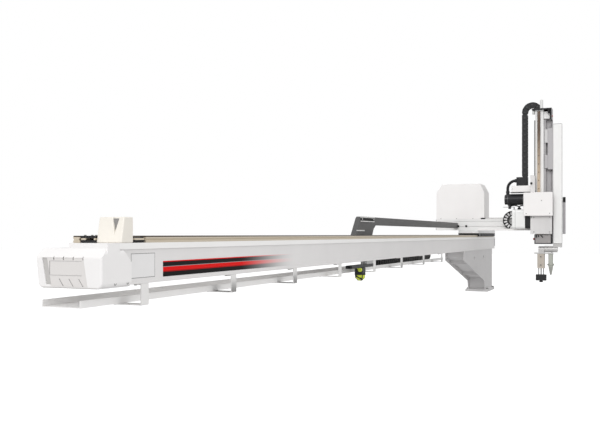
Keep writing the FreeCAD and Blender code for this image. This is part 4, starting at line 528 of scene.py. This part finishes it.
softened("air_regulator", 0.0015, [regulator_black, spacer_grey, lime_bowl], "base",
         finish=regulator_finish)
bm = bmesh.new()
for i in range(4):
    turn = math.radians(45 + 90 * i)
    x, y = math.cos(turn), math.sin(turn)
    bowl_rod((x * 0.0232, y * 0.0232, BOWL_TOP), (x * 0.0212, y * 0.0212, 0.273), 0.0024, 8)
    bowl_rod((x * 0.0215, y * 0.0215, 0.2745), (x * 0.0098, y * 0.0098, 0.2612), 0.0024, 8)
bowl_rod((0, 0, 0.286), (0, 0, BOWL_TOP), 0.0247, 32)
bowl_rod((0, 0, air_foot + 0.0001), (0, 0, 0.2625), 0.0085, 24)
bowl_rod((-0.0205, 0.016, 0.284), (-0.0175, -0.018, 0.266), 0.0040, 8)
piece("bowl_guard", bm, regulator_black, "base")
bm = bmesh.new()
lever_x, lever_y = bowl_axis.x - 0.0250, bowl_axis.y - 0.0085
rod(bm, (lever_x + 0.001, lever_y, 0.3095), (lever_x - 0.0050, lever_y, 0.3095), 0.0098, 32, 0.0088)
bowl_rod((-0.0260, 0.0140, 0.3240), (-0.0260, -0.0060, 0.3110), 0.0034, 10)
piece("bowl_latch", bm, lime_bowl, "base")
softened("regulator_knob", 0.001, regulator_black, "knob")


# Energy chains: moulded black links that carry cables to the moving parts. Side plates snap over
# each other on round bosses, and a bar above and below each link keeps the cables in.
LINK_HEIGHT = 0.039
BEND_RADIUS = 0.053
LINK_PITCH = BEND_RADIUS * math.sin(math.pi / 8)
LINK_END = 0.0084
PLATE_THICK = 0.003
RUN_START = -LINK_HEIGHT * 0.44 - 0.0039
ALONG_X, ALONG_Y, ALONG_Z = (1, 0, 0), (0, 1, 0), (0, 0, 1)

chain_black = coated("chain_black", (0.030, 0.030, 0.031), rough=0.44, grain=500, bump=0.06,
                     patchy=0.25)
boss_black = coated("boss_black", (0.055, 0.055, 0.056), rough=0.36, grain=500, bump=0.05,
                    patchy=0.2)
cable_pale = coated("cable_pale", (0.78, 0.77, 0.77), rough=0.45, grain=500, bump=0.05, patchy=0.2)


def chain(node, body, centre, across, up, width, pins, windows=False):
    """Links through a row of pin places that are measured along across and up from the centre.
    In an open chain the plates have windows that show the pale cables inside."""
    across, up, centre = Vector(across), Vector(up), Vector(centre)
    side = up.cross(across)
    bm = bmesh.new()
    for i, (first, second) in enumerate(zip(pins, pins[1:])):
        start = centre + across * first[0] + up * first[1]
        end = centre + across * second[0] + up * second[1]
        along = (end - start).normalized()
        turn = Matrix((along, side, along.cross(side))).transposed().to_4x4()
        place = Matrix.Translation((start + end) / 2) @ turn
        half = (end - start).length / 2
        outer_plate = i % 2 == 0
        rim = width / 2 - (0.0008 if outer_plate else 0.0042)

        def bar(across_place, up_place, *size):
            """A block in the link, by its middle and size."""
            shape = Matrix.LocRotScale(Vector((0, across_place, up_place)), None, Vector(size))
            return bmesh.ops.create_cube(bm, size=1, matrix=place @ shape)["verts"]

        corners = []
        for hand in (-1, 1):
            plate = bar(hand * (rim - PLATE_THICK / 2), 0, half * 2 + LINK_END * 2, PLATE_THICK,
                        LINK_HEIGHT)
            corners += [e for e in dict.fromkeys(e for v in plate for e in v.link_edges)
                        if abs((e.verts[0].co - e.verts[1].co).normalized().dot(side)) > 0.9]
        ease(bm, corners, 0.009)
        for hand in (-1, 1):
            bar(0, hand * (LINK_HEIGHT / 2 - 0.0024), half * 0.9, width - 0.006, 0.0034)
        plain = set(bm.faces)
        if windows:
            bar(0, 0, half * 1.1, width - 0.0008, LINK_HEIGHT * 0.58)
        elif outer_plate:
            rod(bm, place @ Vector((half, -width / 2, 0)), place @ Vector((half, width / 2, 0)),
                LINK_HEIGHT * 0.16, 10)
        for face in set(bm.faces) - plain:
            face.material_index = 2 if windows else 1
    return piece(node + "_links", bm, [chain_black, boss_black, cable_pale], body,
                 [node])


def straight_pins(up, count):
    """Pins of a straight run, at half the pitch of its links."""
    return [(RUN_START - LINK_PITCH * i, up) for i in range(count * 2 + 1)]


bend_pins = [(BEND_RADIUS * math.cos(a), BEND_RADIUS * math.sin(a))
             for a in (math.pi * (i / 8 - 0.5) for i in range(9))]
joined_low = [(RUN_START, -BEND_RADIUS)] + bend_pins
joined_both = joined_low + [(RUN_START, BEND_RADIUS)]

bend_low, bend_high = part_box("traverse_chain_bend")
traverse_place = ((-1.450, 0.0905, (bend_low.z + bend_high.z) / 2), ALONG_X, ALONG_Z, 0.030)
chain("traverse_chain_bend", "traverse_chain", *traverse_place, joined_both)
chain("traverse_chain_lower_run", "traverse_chain", *traverse_place,
      straight_pins(-BEND_RADIUS, 26))
chain("traverse_chain_upper_run", "traverse_chain", *traverse_place,
      straight_pins(BEND_RADIUS, 59))
bend_low, bend_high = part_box("cross_chain_bend")
cross_centre = ((bend_low.x + bend_high.x) / 2, -0.341, (bend_low.z + bend_high.z) / 2)
cross_place = (cross_centre, ALONG_Y, ALONG_Z, 0.042)
chain("cross_chain_bend", "cross_chain", *cross_place, joined_both, windows=True)
chain("cross_chain_lower_run", "cross_chain", *cross_place, straight_pins(-BEND_RADIUS, 5))
chain("cross_chain_upper_run", "cross_chain", *cross_place, straight_pins(BEND_RADIUS, 4))
bend_low, bend_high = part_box("arm_chain_bend")
arm_centre = ((bend_low.x + bend_high.x) / 2, (bend_low.y + bend_high.y) / 2, 1.366)
arm_place = (arm_centre, ALONG_Z, ALONG_Y, 0.050)
chain("arm_chain_bend", "arm_chain", *arm_place, joined_low + [(-0.0036, BEND_RADIUS)])
chain("arm_chain_stage_run", "arm_chain", *arm_place, straight_pins(-BEND_RADIUS, 7))
saddle_run = chain("arm_chain_saddle_run", "saddle", *arm_place, straight_pins(BEND_RADIUS, 11))
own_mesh(saddle_run)


# Traverse carriage: a machined aluminium plate on four black recirculating-ball blocks with
# plastic end seals and rubber wipers. The servo that drives it stands inside the white cover.
def slabs(name, material, body, slot, width, *corners):
    """Rectangular blocks with eased edges, as one piece."""
    bm = bmesh.new()
    for low, high in corners:
        block(bm, low, high)
    ease(bm, bm.edges[:], width)
    piece(name, bm, material, body)


machined = drawn("machined", (0.80, 0.80, 0.795), "Y", rough=0.32, metallic=0.35)
block_steel = coated("block_steel", (0.045, 0.045, 0.047), rough=0.36, grain=800, patchy=0.2,
                     metallic=0.2)
seal_plastic = coated("seal_plastic", (0.025, 0.025, 0.027), rough=0.5, grain=600)
BLOCK_BODIES = ((-0.482, -0.431), (0.181, 0.232))
softened("traverse_blocks", 0.001, [block_steel, seal_plastic], "carriage",
         cuts=[("X", x) for body_ends in BLOCK_BODIES for x in body_ends],
         finish=lambda centre, normal: not any(a < centre.x < b for a, b in BLOCK_BODIES))
softened("carriage_plate", 0.0012, machined, "carriage")
plate_low, plate_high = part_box("carriage_plate")
screws("carriage_screws", "carriage",
       ([(x, y, plate_high.z) for x in (0.186, 0.227) for y in (-0.071, -0.043, 0.043, 0.071)],
        (0, 0, 1), 0.0045, 0.0032),
       ([(x, y, plate_high.z) for x in (-0.25, -0.10, 0.05) for y in (-0.066, 0.066)],
        (0, 0, 1), 0.0035, 0.0022))
wiper_black = coated("wiper_black", (0.028, 0.028, 0.03), rough=0.5, grain=500, patchy=0.2)
wiper_top = plate_low.z + 0.0006
slabs("carriage_wipers", wiper_black, "carriage", "belt_rubber", 0.0010,
      ((-0.394, -0.0785, 0.4520), (0.1675, -0.0705, wiper_top)),
      ((-0.394, 0.0705, 0.4520), (0.1675, 0.0785, wiper_top)),
      ((-0.5070, -0.0445, 0.4600), (-0.4960, 0.0445, wiper_top)),
      ((-0.5070, -0.0790, 0.4650), (-0.4960, 0.0790, wiper_top)))
dark_enamel = coated("dark_enamel", (0.022, 0.022, 0.024), rough=0.34, grain=600, patchy=0.2)
softened("traverse_drive", 0.001, dark_enamel, "carriage")

# Cover box: white powder-coated sheet folded over the drive, with both upper edges slanted, held
# by small screws along its foot. A black rubber block seals its corner.
white_coat = coated("white_coat", (0.87, 0.85, 0.84), rough=0.36, grain=520, bump=0.035,
                    patchy=0.02)
softened("cover_box", 0.0022, white_coat, "carriage", 3)
box_low, box_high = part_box("cover_box")
BOX_SCREW = (0.0034, 0.0018)
BOX_SCREW_Z = 0.5985
screws("cover_box_screws", "carriage",
       ([(box_low.x, y, 0.5905) for y in (0.215, 0.092, -0.035)], (-1, 0, 0), *BOX_SCREW),
       ([(box_high.x, y, BOX_SCREW_Z) for y in (0.215, 0.065, -0.085)], (1, 0, 0), *BOX_SCREW),
       ([(x, box_high.y, BOX_SCREW_Z) for x in (-0.485, -0.325)], (0, 1, 0), *BOX_SCREW),
       ([(-0.330, box_low.y, BOX_SCREW_Z)], (0, -1, 0), *BOX_SCREW))
slabs("cover_box_seal", dark_rubber, "carriage", "belt_rubber", 0.0015,
      ((-0.5085, -0.1195, 0.5845), (-0.3715, -0.0955, 0.5938)))

# Crosswise beam: a slotted aluminium extrusion bolted across the carriage, with a plastic cap at
# each end, two ground rails on top, and a bent white sheet under it for the chain.
cross_paint = coated("cross_paint", (0.83, 0.825, 0.815), rough=0.34, grain=520, bump=0.03,
                     patchy=0.03)
cap_plastic = coated("cap_plastic", (0.42, 0.42, 0.42), rough=0.45, grain=600)
softened("cross_beam", 0.001, [cross_paint, cap_plastic], "carriage",
         finish=lambda centre, normal: not -0.6402 <= centre.y <= 0.2502)
cross_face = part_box("cross_beam")[0].x
screws("cross_beam_bolts", "carriage",
       ([(cross_face, y, 0.531) for y in (0.078, 0.016)], (-1, 0, 0), 0.0082, 0.0050),
       metal=black_steel)
rail_across = drawn("rail_across", (0.66, 0.65, 0.64), "Y", rough=0.3, metallic=0.4)
softened("cross_rails", 0.0005, rail_across, "carriage")
softened("chain_shelf", 0.0005, white_coat, "carriage")

# Cable arm: a long dark sheet duct that reaches over the beam to the chain in the tray. Cables
# lie in its open top, and a strap with bright edges clamps them above the leg.
duct_paint = coated("duct_paint", (0.085, 0.085, 0.085), rough=0.4, grain=420, patchy=0.15)
strap_dark = coated("strap_dark", (0.008, 0.008, 0.008), rough=0.5, grain=420, patchy=0.2)
bright_edge = drawn("bright_edge", (0.84, 0.84, 0.83), "X", rough=0.3, metallic=0.4)
softened("cable_arm", 0.0015, [duct_paint, strap_dark], "carriage",
         finish=lambda centre, normal: centre.y < 0.0818)
STRAP_X, STRAP_END = -2.812, -2.602
bm = bmesh.new()
for z in (0.5330, 0.5535):
    block(bm, (STRAP_X - 0.002, 0.0772, z - 0.0024), (STRAP_END + 0.002, 0.0806, z + 0.0024))
block(bm, (-2.868, 0.0800, 0.4830), (-2.752, 0.0826, 0.4888))
ease(bm, bm.edges[:], 0.0005)
for x in (STRAP_X + 0.014, STRAP_END - 0.014):
    screw(bm, (x, 0.0780, 0.544), (0, -1, 0), 0.0036, 0.0024)
piece("strap_edges", bm, bright_edge, "carriage")
cable_black = coated("cable_black", (0.022, 0.022, 0.024), rough=0.5, grain=400, patchy=0.15)
cable_grey = coated("cable_grey", (0.22, 0.22, 0.23), rough=0.5, grain=400, patchy=0.15)
CABLE_Z = 0.5489
bm = bmesh.new()
for i, y in enumerate((0.0905, 0.0970, 0.1035)):
    cable = rod(bm, (-2.755, y, CABLE_Z), (-0.556, y, CABLE_Z), 0.0030, 12)
    for face in {face for vert in cable for face in vert.link_faces}:
        face.material_index = i % 2
piece("duct_cables", bm, [cable_black, cable_grey], "carriage")


# Saddle: a machined bracket on four blocks runs on the crosswise beam and bridges the chain. Its
# side, front and back plates hold the vertical arm, and a white sheet cover hides the front.
plate_metal = drawn("plate_metal", (0.68, 0.665, 0.66), "Z", rough=0.36, metallic=0.1)
edge_grey = coated("edge_grey", (0.40, 0.385, 0.40), rough=0.4, patchy=0.1)
BACK_EDGE = -0.7025
softened("saddle_bracket", 0.0015, [machined, edge_grey], "saddle", cuts=[("Y", BACK_EDGE)],
         finish=lambda centre, normal: centre.y < BACK_EDGE)
softened("saddle_side", 0.001, plate_metal, "saddle")
softened("saddle_front", 0.001, [plate_metal, black_steel], "saddle",
         finish=lambda centre, normal: centre.z > 0.7742)
softened("saddle_cover", 0.003, white_coat, "saddle", 3)
UPRIGHT_BODIES = ((0.490, 0.534), (0.710, 0.754))
softened("saddle_blocks", 0.001, [block_steel, seal_plastic], "saddle",
         cuts=[("Z", z) for body_ends in UPRIGHT_BODIES for z in body_ends],
         finish=lambda centre, normal: centre.x < -0.66
         and not any(a < centre.z < b for a, b in UPRIGHT_BODIES))
screws("saddle_screws", "saddle",
       ([(-0.565, y, z) for y in (-0.515, -0.600) for z in (0.690, 0.722)],
        (1, 0, 0), 0.0050, 0.0040),
       ([(x, y, 0.626) for y in (-0.505, -0.615) for x in (-0.440, -0.405)],
        (0, 0, 1), 0.0045, 0.0036),
       ([(-0.706, y, z) for z in (0.485, 0.590) for y in (-0.512, -0.622)],
        (-1, 0, 0), 0.0045, 0.0034))
cover_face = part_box("saddle_cover")[0].x
cover_seats = ((-0.570, 0.7105), (-0.625, 0.618), (-0.463, 0.618))
screws("saddle_cover_screws", "saddle",
       ([(cover_face, y, z) for y, z in cover_seats], (-1, 0, 0), 0.0040, 0.0020))
TAB_Y, TAB_Z = -0.4945, 0.838
bm = bmesh.new()
rod(bm, (-0.7062, TAB_Y, TAB_Z), (-0.7110, TAB_Y, TAB_Z), 0.0090, 6)
rod(bm, (-0.7110, TAB_Y, TAB_Z), (-0.7190, TAB_Y, TAB_Z), 0.0066, 16)
piece("tab_fitting", bm, black_steel, "saddle")
slabs("back_plate_bumper", dark_rubber, "saddle", "belt_rubber", 0.001,
      ((-0.5800, -0.7203, 0.700), (-0.5645, -0.7015, 0.7405)))

# Arm servo: a white enamelled case with a dark end bell, on a dark gear flange. Round plugs bring
# its cables in from above, under a bent bracket.
servo_white = coated("servo_white", (0.84, 0.84, 0.83), rough=0.3, grain=620, patchy=0.03,
                     coat=0.2)
joint_dark = coated("joint_dark", (0.12, 0.12, 0.12), rough=0.5)
FLANGE_EDGE, JOINT_EDGES = -0.4496, (-0.3810, -0.3795)


def servo_finish(centre, normal):
    """Dark flange, white case with a dark joint line."""
    if centre.y < FLANGE_EDGE:
        return 1
    return 2 if JOINT_EDGES[0] < centre.y < JOINT_EDGES[1] else 0


softened("arm_servo", 0.004, [servo_white, dark_enamel, joint_dark], "saddle", 3,
         cuts=[("Y", y) for y in (FLANGE_EDGE, *JOINT_EDGES)], finish=servo_finish)
servo_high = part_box("arm_servo")[1]
screws("servo_screws", "saddle",
       ([(x, servo_high.y, z) for x in (-0.690, -0.580) for z in (0.524, 0.634)],
        (0, 1, 0), 0.0040, 0.0030),
       ([(-0.706, -0.494, 0.592)], (-1, 0, 0), 0.0062, 0.0060))
PLUG_Y = -0.402
bm = bmesh.new()
for x in (-0.662, -0.622):
    rod(bm, (x, PLUG_Y, servo_high.z - 0.001), (x, PLUG_Y, servo_high.z + 0.010), 0.0110, 20)
    rod(bm, (x, PLUG_Y, servo_high.z + 0.010), (x, PLUG_Y, servo_high.z + 0.016), 0.0092, 20,
        0.0070)
piece("servo_plugs", bm, black_steel, "saddle")
gear_grey = coated("gear_grey", (0.13, 0.13, 0.135), rough=0.38, grain=500, patchy=0.2,
                   metallic=0.4)
slabs("cable_bracket", gear_grey, "saddle", "bright_aluminium", 0.0005,
      ((-0.672, -0.368, servo_high.z - 0.001), (-0.640, -0.365, 0.6705)),
      ((-0.672, -0.368, 0.6680), (-0.640, -0.288, 0.6705)))

# Crosswise motor: a black round motor with a turned cap and a squared gearbox, lying on the
# saddle's side plate with its conduit gland on top.
motor_cap = coated("motor_cap", (0.022, 0.022, 0.024), rough=0.26, grain=500, patchy=0.2, coat=0.3)
softened("cross_motor", 0.003, [dark_enamel, motor_cap, gear_grey], "saddle", 3,
         finish=lambda centre, normal: 2 if centre.y < -0.4372 else int(centre.y > -0.319))
motor_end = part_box("cross_motor")[1].y
motor_axis = Vector((-0.648, 0, 0.725))
bm = bmesh.new()
for y in (-0.4330, -0.3240):
    rod(bm, motor_axis + Vector((0, y - 0.0016, 0)), motor_axis + Vector((0, y + 0.0016, 0)),
        0.0416, 40)
for i in range(4):
    turn = math.radians(45 + 90 * i)
    seat = motor_axis + Vector((math.cos(turn) * 0.0265, motor_end, math.sin(turn) * 0.0265))
    screw(bm, seat, (0, 1, 0), 0.0028, 0.0022)
piece("motor_rings", bm, gear_grey, "saddle")
softened("equipment_shelf", 0.0005, black_steel, "saddle")


# Valve box of white sheet on the shelf, the black plug housing on it, and a corrugated conduit
# from the housing's side down to the motor's gland and on below the motor.
def ease_long(bm):
    """Takes the sharpness off the long edges of small fittings."""
    ease(bm, [e for e in bm.edges if e.calc_length() > 0.004], 0.0004, 1)


VALVE_TOP = 0.825
softened("valve_unit", 0.0015, [white_coat, black_steel], "saddle",
         finish=lambda centre, normal: centre.z > VALVE_TOP + 0.0003)
screws("valve_screws", "saddle",
       ([(-0.686, y, 0.802) for y in (-0.360, -0.498)], (-1, 0, 0), 0.0030, 0.0018))
GLAND_X, GLAND_Y = -0.668, -0.4940
bm = bmesh.new()
rod(bm, (GLAND_X, GLAND_Y, VALVE_TOP), (GLAND_X, GLAND_Y, VALVE_TOP + 0.006), 0.0075, 6)
rod(bm, (GLAND_X, GLAND_Y, VALVE_TOP + 0.006), (GLAND_X, GLAND_Y, VALVE_TOP + 0.018), 0.0060, 20)
block(bm, (-0.6385, -0.4630, 0.8380), (-0.6355, -0.3800, 0.8400))
for y in (-0.446, -0.398):
    block(bm, (-0.6590, y - 0.009, 0.846), (-0.6545, y + 0.009, 0.878))
ease_long(bm)
piece("plug_latches", bm, black_steel, "saddle")


def swept(bm, stations, radii, segments=20):
    """A round tube through a list of points, with a radius at each, closed at both ends."""
    loop = None
    for i, (point, radius) in enumerate(zip(stations, radii)):
        before = stations[max(i - 1, 0)]
        after = stations[min(i + 1, len(stations) - 1)]
        turn = (after - before).to_track_quat("Z", "Y")
        place = Matrix.LocRotScale(point, turn, None)
        ring = bmesh.ops.create_circle(bm, cap_ends=False, segments=segments, radius=radius,
                                       matrix=place)
        edges = list(dict.fromkeys(e for v in ring["verts"] for e in v.link_edges))
        if loop:
            bmesh.ops.bridge_loops(bm, edges=loop + edges)
        else:
            bmesh.ops.edgeloop_fill(bm, edges=edges)
        loop = edges
    bmesh.ops.edgeloop_fill(bm, edges=loop)


def corrugated(bm, stations, crest, root):
    """A conduit whose radius goes up and down every two stations."""
    swept(bm, stations, [crest if i % 4 < 2 else root for i in range(len(stations))])


HOSE_X, HOSE_BEND, HOSE_TOP, HOSE_END_Y, HOSE_END_Z = -0.640, 0.058, 0.865, -0.318, 0.776
turning = Vector((HOSE_X, HOSE_END_Y - HOSE_BEND, HOSE_TOP - HOSE_BEND))
route = [Vector((HOSE_X, -0.3815, HOSE_TOP))]
for i in range(61):
    angle = math.pi / 2 * (1 - i / 60)
    route.append(turning + Vector((0, math.cos(angle), math.sin(angle))) * HOSE_BEND)
for i in range(1, 21):
    route.append(Vector((HOSE_X, HOSE_END_Y, turning.z + (HOSE_END_Z - turning.z) * i / 20)))
STUB_X, STUB_Y, STUB_TOP = -0.656, -0.3345, 0.690
bm = bmesh.new()
corrugated(bm, route, 0.0112, 0.0096)
corrugated(bm, [Vector((STUB_X, STUB_Y, STUB_TOP - 0.001 * i)) for i in range(35)], 0.0105, 0.0092)
hose_rubber = coated("hose_rubber", (0.028, 0.028, 0.030), rough=0.5, grain=500, bump=0.06,
                     patchy=0.2)
piece("motor_hose_tube", bm, hose_rubber, "saddle", ["motor_hose"], smooth=60)
bm = bmesh.new()
rod(bm, (HOSE_X, -0.3810, HOSE_TOP), (HOSE_X, -0.3690, HOSE_TOP), 0.0135, 6)
rod(bm, (HOSE_X, HOSE_END_Y, HOSE_END_Z - 0.001), (HOSE_X, HOSE_END_Y, HOSE_END_Z + 0.012),
    0.0135, 6)
rod(bm, (STUB_X, STUB_Y, STUB_TOP), (STUB_X, STUB_Y, STUB_TOP - 0.012), 0.0125, 6)
piece("hose_nuts", bm, black_steel, "saddle")

# Servo cables: short black leads with a smooth bend, from the servo's plugs to the saddle's side
# plate and to the conduit under the motor.
LEADS = (((-0.662, -0.402, 0.662), (-0.662, -0.402, 0.690), (-0.668, -0.460, 0.682),
          (-0.672, -0.488, 0.640)),
         ((-0.622, -0.402, 0.662), (-0.622, -0.402, 0.682), (-0.640, -0.345, 0.690),
          (-0.654, -0.340, 0.672)))
bm = bmesh.new()
for points in LEADS:
    first, second, third, last = (Vector(p) for p in points)
    line = [first * (1 - t) ** 3 + second * 3 * t * (1 - t) ** 2 + third * 3 * t * t * (1 - t)
            + last * t ** 3 for t in (i / 14 for i in range(15))]
    swept(bm, line, [0.0042] * len(line), 12)
piece("servo_cables", bm, cable_black, "saddle", smooth=60)


# Lower arm stage: a white hollow profile with a ground rail in front, plugged screw holes, and a
# channel beside it that the upper stage runs in. Grey on the upper front of the channel and on
# faces along the stage's side is painted shade.
profile_white = coated("profile_white", (0.85, 0.845, 0.835), rough=0.34, grain=520, bump=0.03,
                       patchy=0.03)
softened("stage_profile", 0.001, profile_white, "stage")
# This grey is painted shade. It is laid where the side of the stage lies in shade.
painted_shade_grey = drawn("painted_shade_grey", (0.50, 0.485, 0.495), "Z", rough=0.45, metallic=0.0)
softened("stage_web", 0.0008, [painted_shade_grey, profile_white], "stage",
         finish=lambda centre, normal: centre.x < -0.6115 and centre.z > 1.30)
rail_upright = drawn("rail_upright", (0.50, 0.40, 0.30), "Z", rough=0.3, metallic=0.55)
rail_tree = rail_upright.node_tree
# The rail's tan darkens to brown towards its top. This is painted shade.
rise = add(rail_tree, "SeparateXYZ", [(found(rail_tree, "TEX_COORD").outputs["Object"], "Vector")])
painted_shade_span = add(rail_tree, "MapRange", [(rise.outputs["Z"], "Value")], From_Min=0.86, From_Max=1.22)
shade = add(rail_tree, "Mix")
shade.data_type = "RGBA"
shade.inputs[7].default_value = (0.075, 0.05, 0.035, 1)
rail_tree.links.new(painted_shade_span.outputs["Result"], shade.inputs[0])
rail_tree.links.new(found(rail_tree, "VALTORGB").outputs["Color"], shade.inputs[6])
rail_tree.links.new(shade.outputs[2], rail_tree.nodes["Principled BSDF"].inputs["Base Color"])
# The far side of the rails takes the painted shade grey.
softened("stage_rails", 0.0005, [rail_upright, painted_shade_grey], "stage",
         finish=lambda centre, normal: centre.y < -0.5758)
rail_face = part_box("stage_rails")[0].x
plug_brown = coated("plug_brown", (0.10, 0.075, 0.055), rough=0.5)
bm = bmesh.new()
for i in range(16):
    z = 0.44 + 0.06 * i
    rod(bm, (rail_face + 0.0001, -0.5435, z), (rail_face - 0.0003, -0.5435, z), 0.0044, 16)
piece("rail_plugs", bm, plug_brown, "stage")

# Stage ends: a black angle with a white cable tube, a bright stop and a red bumper on top, and a
# black frame with clips, a grey face and a red bumper below. A thin dark strip guides the belt.
tube_white = coated("tube_white", (0.74, 0.74, 0.73), rough=0.35, grain=600)
stop_bright = drawn("stop_bright", (0.72, 0.72, 0.70), "Z", rough=0.25, metallic=0.85)
bumper_red = coated("bumper_red", (0.36, 0.035, 0.03), rough=0.45, grain=400, patchy=0.15)


def top_finish(centre, normal):
    """Tube above the angle, bright stop on the left, painted shade grey on the outward faces on the
    right, the rest black.
    """
    if centre.z > 1.3836:
        return 1
    if centre.z < 1.3746 and centre.y > -0.5155:
        return 2
    return 3 if normal.y < -0.9 and centre.y < -0.6335 else 0


softened("top_bracket", 0.001, [black_steel, tube_white, stop_bright, painted_shade_grey], "stage",
         finish=top_finish)
bm = bmesh.new()
rod(bm, (-0.660, -0.6335, 1.326), (-0.660, -0.6395, 1.326), 0.0062, 20, 0.0052)
piece("top_bumper", bm, bumper_red, "stage")
slabs("belt_guide", dark_rubber, "stage", "belt_rubber", 0.0008,
      ((-0.6545, -0.5168, 0.478), (-0.6512, -0.5098, 1.3015)))
softened("bottom_frame", 0.001, black_steel, "stage")
frame_low, frame_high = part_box("bottom_frame")
bm = bmesh.new()
rod(bm, (-0.660, frame_high.y - 0.0005, 0.433), (-0.660, frame_high.y + 0.0105, 0.433), 0.0085, 20,
    0.0072)
piece("frame_bumper", bm, bumper_red, "stage")
FRAME_FACE_X = -0.6835
face_seats = ((-0.530, 0.458), (-0.615, 0.413), (-0.530, 0.413), (-0.615, 0.458))
screws("frame_screws", "stage",
       ([(x, frame_high.y, 0.455) for x in (-0.655, -0.600)], (0, 1, 0), 0.0034, 0.0024),
       ([(FRAME_FACE_X, y, z) for y, z in face_seats], (-1, 0, 0), 0.0030, 0.0018))
bm = bmesh.new()
block(bm, (-0.6815, frame_low.y, 0.3975), (-0.6792, frame_high.y, 0.4665))
inner = block(bm, (FRAME_FACE_X, frame_low.y + 0.007, 0.4045),
              (-0.6814, frame_high.y - 0.007, 0.4660))
for face in {f for v in inner for f in v.link_faces}:
    face.material_index = 1
ease(bm, bm.edges[:], 0.0004, 1)
face_grey = coated("face_grey", (0.33, 0.31, 0.305), rough=0.4, patchy=0.1)
piece("frame_face", bm, [black_steel, face_grey], "stage")
bm = bmesh.new()
block(bm, (-0.6895, -0.5330, 0.4430), (-0.6830, -0.5240, 0.4630))
block(bm, (-0.6895, -0.5460, 0.4470), (-0.6830, -0.5400, 0.4630))
rod(bm, (-0.6865, -0.5580, 0.4620), (-0.6865, -0.5740, 0.4430), 0.0034, 10)
ease_long(bm)
piece("frame_clips", bm, black_steel, "stage")

# Arm belts: toothed polyurethane, black for the drive belt on the stage's left side and grey for
# the closed belt that runs around two toothed aluminium wheels.
belt_upright = ribbed("belt_upright", (0.035, 0.035, 0.035), "Z", 0.005)
belt_grey = ribbed("belt_grey", (0.40, 0.39, 0.395), "Z", 0.005)
softened("stage_belt", 0.0003, [belt_upright, belt_grey], "stage",
         finish=lambda centre, normal: centre.y < -0.5765)
wheel_metal = drawn("wheel_metal", (0.72, 0.72, 0.71), "X", rough=0.3, metallic=0.85)
softened("pulley_low", 0.0003, wheel_metal, "pulley_low")
softened("pulley_high", 0.0003, wheel_metal, "pulley_high")

# Upper arm stage: a second white profile with a moulded cap on its top end, a slide plate with two
# blocks that run in the channel, and the wrist block screwed under it.
softened("outer_profile", 0.001, profile_white, "outer")
outer_low, outer_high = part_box("outer_profile")
bm = bmesh.new()
block(bm, (outer_low.x + 0.0002, outer_low.y + 0.0002, outer_high.z - 0.001),
      (outer_high.x - 0.0002, outer_high.y - 0.0002, outer_high.z + 0.004))
ease(bm, [e for e in bm.edges if abs(e.verts[0].co.z - e.verts[1].co.z) > 0.001], 0.006, 4)
rim_z = outer_high.z + 0.003
ease(bm, [e for e in bm.edges if e.calc_face_angle(0) > 0.8
          and all(v.co.z > rim_z for v in e.verts)], 0.0012)
piece("outer_cap", bm, cap_plastic, "outer")
slide_light = drawn("slide_light", (0.66, 0.65, 0.65), "Z", rough=0.4, metallic=0.0)
# The slide plate and lower block are painted grey as painted shade. The upper block is pale.
softened("slide_carriage", 0.001, [painted_shade_grey, slide_light], "outer",
         finish=lambda centre, normal: centre.z > 1.1355 and centre.y > -0.6015)
wrist_metal = drawn("wrist_metal", (0.56, 0.55, 0.54), "Y", rough=0.36, metallic=0.2)
softened("wrist_bracket", 0.001, wrist_metal, "outer")
drum_turns = [math.radians(45 + 90 * i) for i in range(4)]
screws("wrist_screws", "outer",
       ([(x, y, 0.3745) for y in (-0.692, -0.648) for x in (-0.640, -0.610)],
        (0, 0, -1), 0.0036, 0.0020),
       ([(-0.625 + math.cos(a) * 0.0165, -0.668, 0.359 + math.sin(a) * 0.0165)
         for a in drum_turns], (0, -1, 0), 0.0022, 0.0018))


# Gripping head: a plate on the turning hub holds a tan hard-anodised guided cylinder with bright
# rods and a black end block, and a grey-green sprue gripper with two ribbed jaws.
softened("head_plate", 0.001, wrist_metal, "head")
screws("head_screws", "head",
       ([(x, y, 0.333) for y in (-0.540, -0.628) for x in (-0.640, -0.610)],
        (0, 0, 1), 0.0034, 0.0030))
bronze = drawn("bronze", (0.50, 0.45, 0.39), "Z", rough=0.38, metallic=0.2)
softened("product_cylinder", 0.001, bronze, "head")
port_x, PORT_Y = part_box("product_cylinder")[0].x, -0.5545
fitting_black = coated("fitting_black", (0.03, 0.03, 0.033), rough=0.35, grain=600)
bm = bmesh.new()
for z in (0.243, 0.303):
    rod(bm, (port_x + 0.0005, PORT_Y, z), (port_x - 0.005, PORT_Y, z), 0.0042, 6)
    rod(bm, (port_x - 0.005, PORT_Y, z), (port_x - 0.011, PORT_Y, z), 0.0036, 16)
piece("cylinder_fittings", bm, fitting_black, "head")
gripper_tone = coated("gripper_tone", (0.40, 0.41, 0.37), rough=0.38, grain=500, metallic=0.3)
softened("sprue_gripper", 0.0008, gripper_tone, "head")
rod_chrome = drawn("rod_chrome", (0.46, 0.455, 0.45), "Z", rough=0.2, metallic=0.8, patchy=0.04)
softened("product_slide", 0.0008, [black_steel, rod_chrome], "product_slide",
         finish=lambda centre, normal: centre.z > 0.1735)
jaw_grey = ribbed("jaw_grey", (0.33, 0.33, 0.30), "Z", 0.004, rough=0.45, bump=0.35)
softened("jaw_left", 0.0008, jaw_grey, "jaw_left")
softened("jaw_right", 0.0008, jaw_grey, "jaw_right")
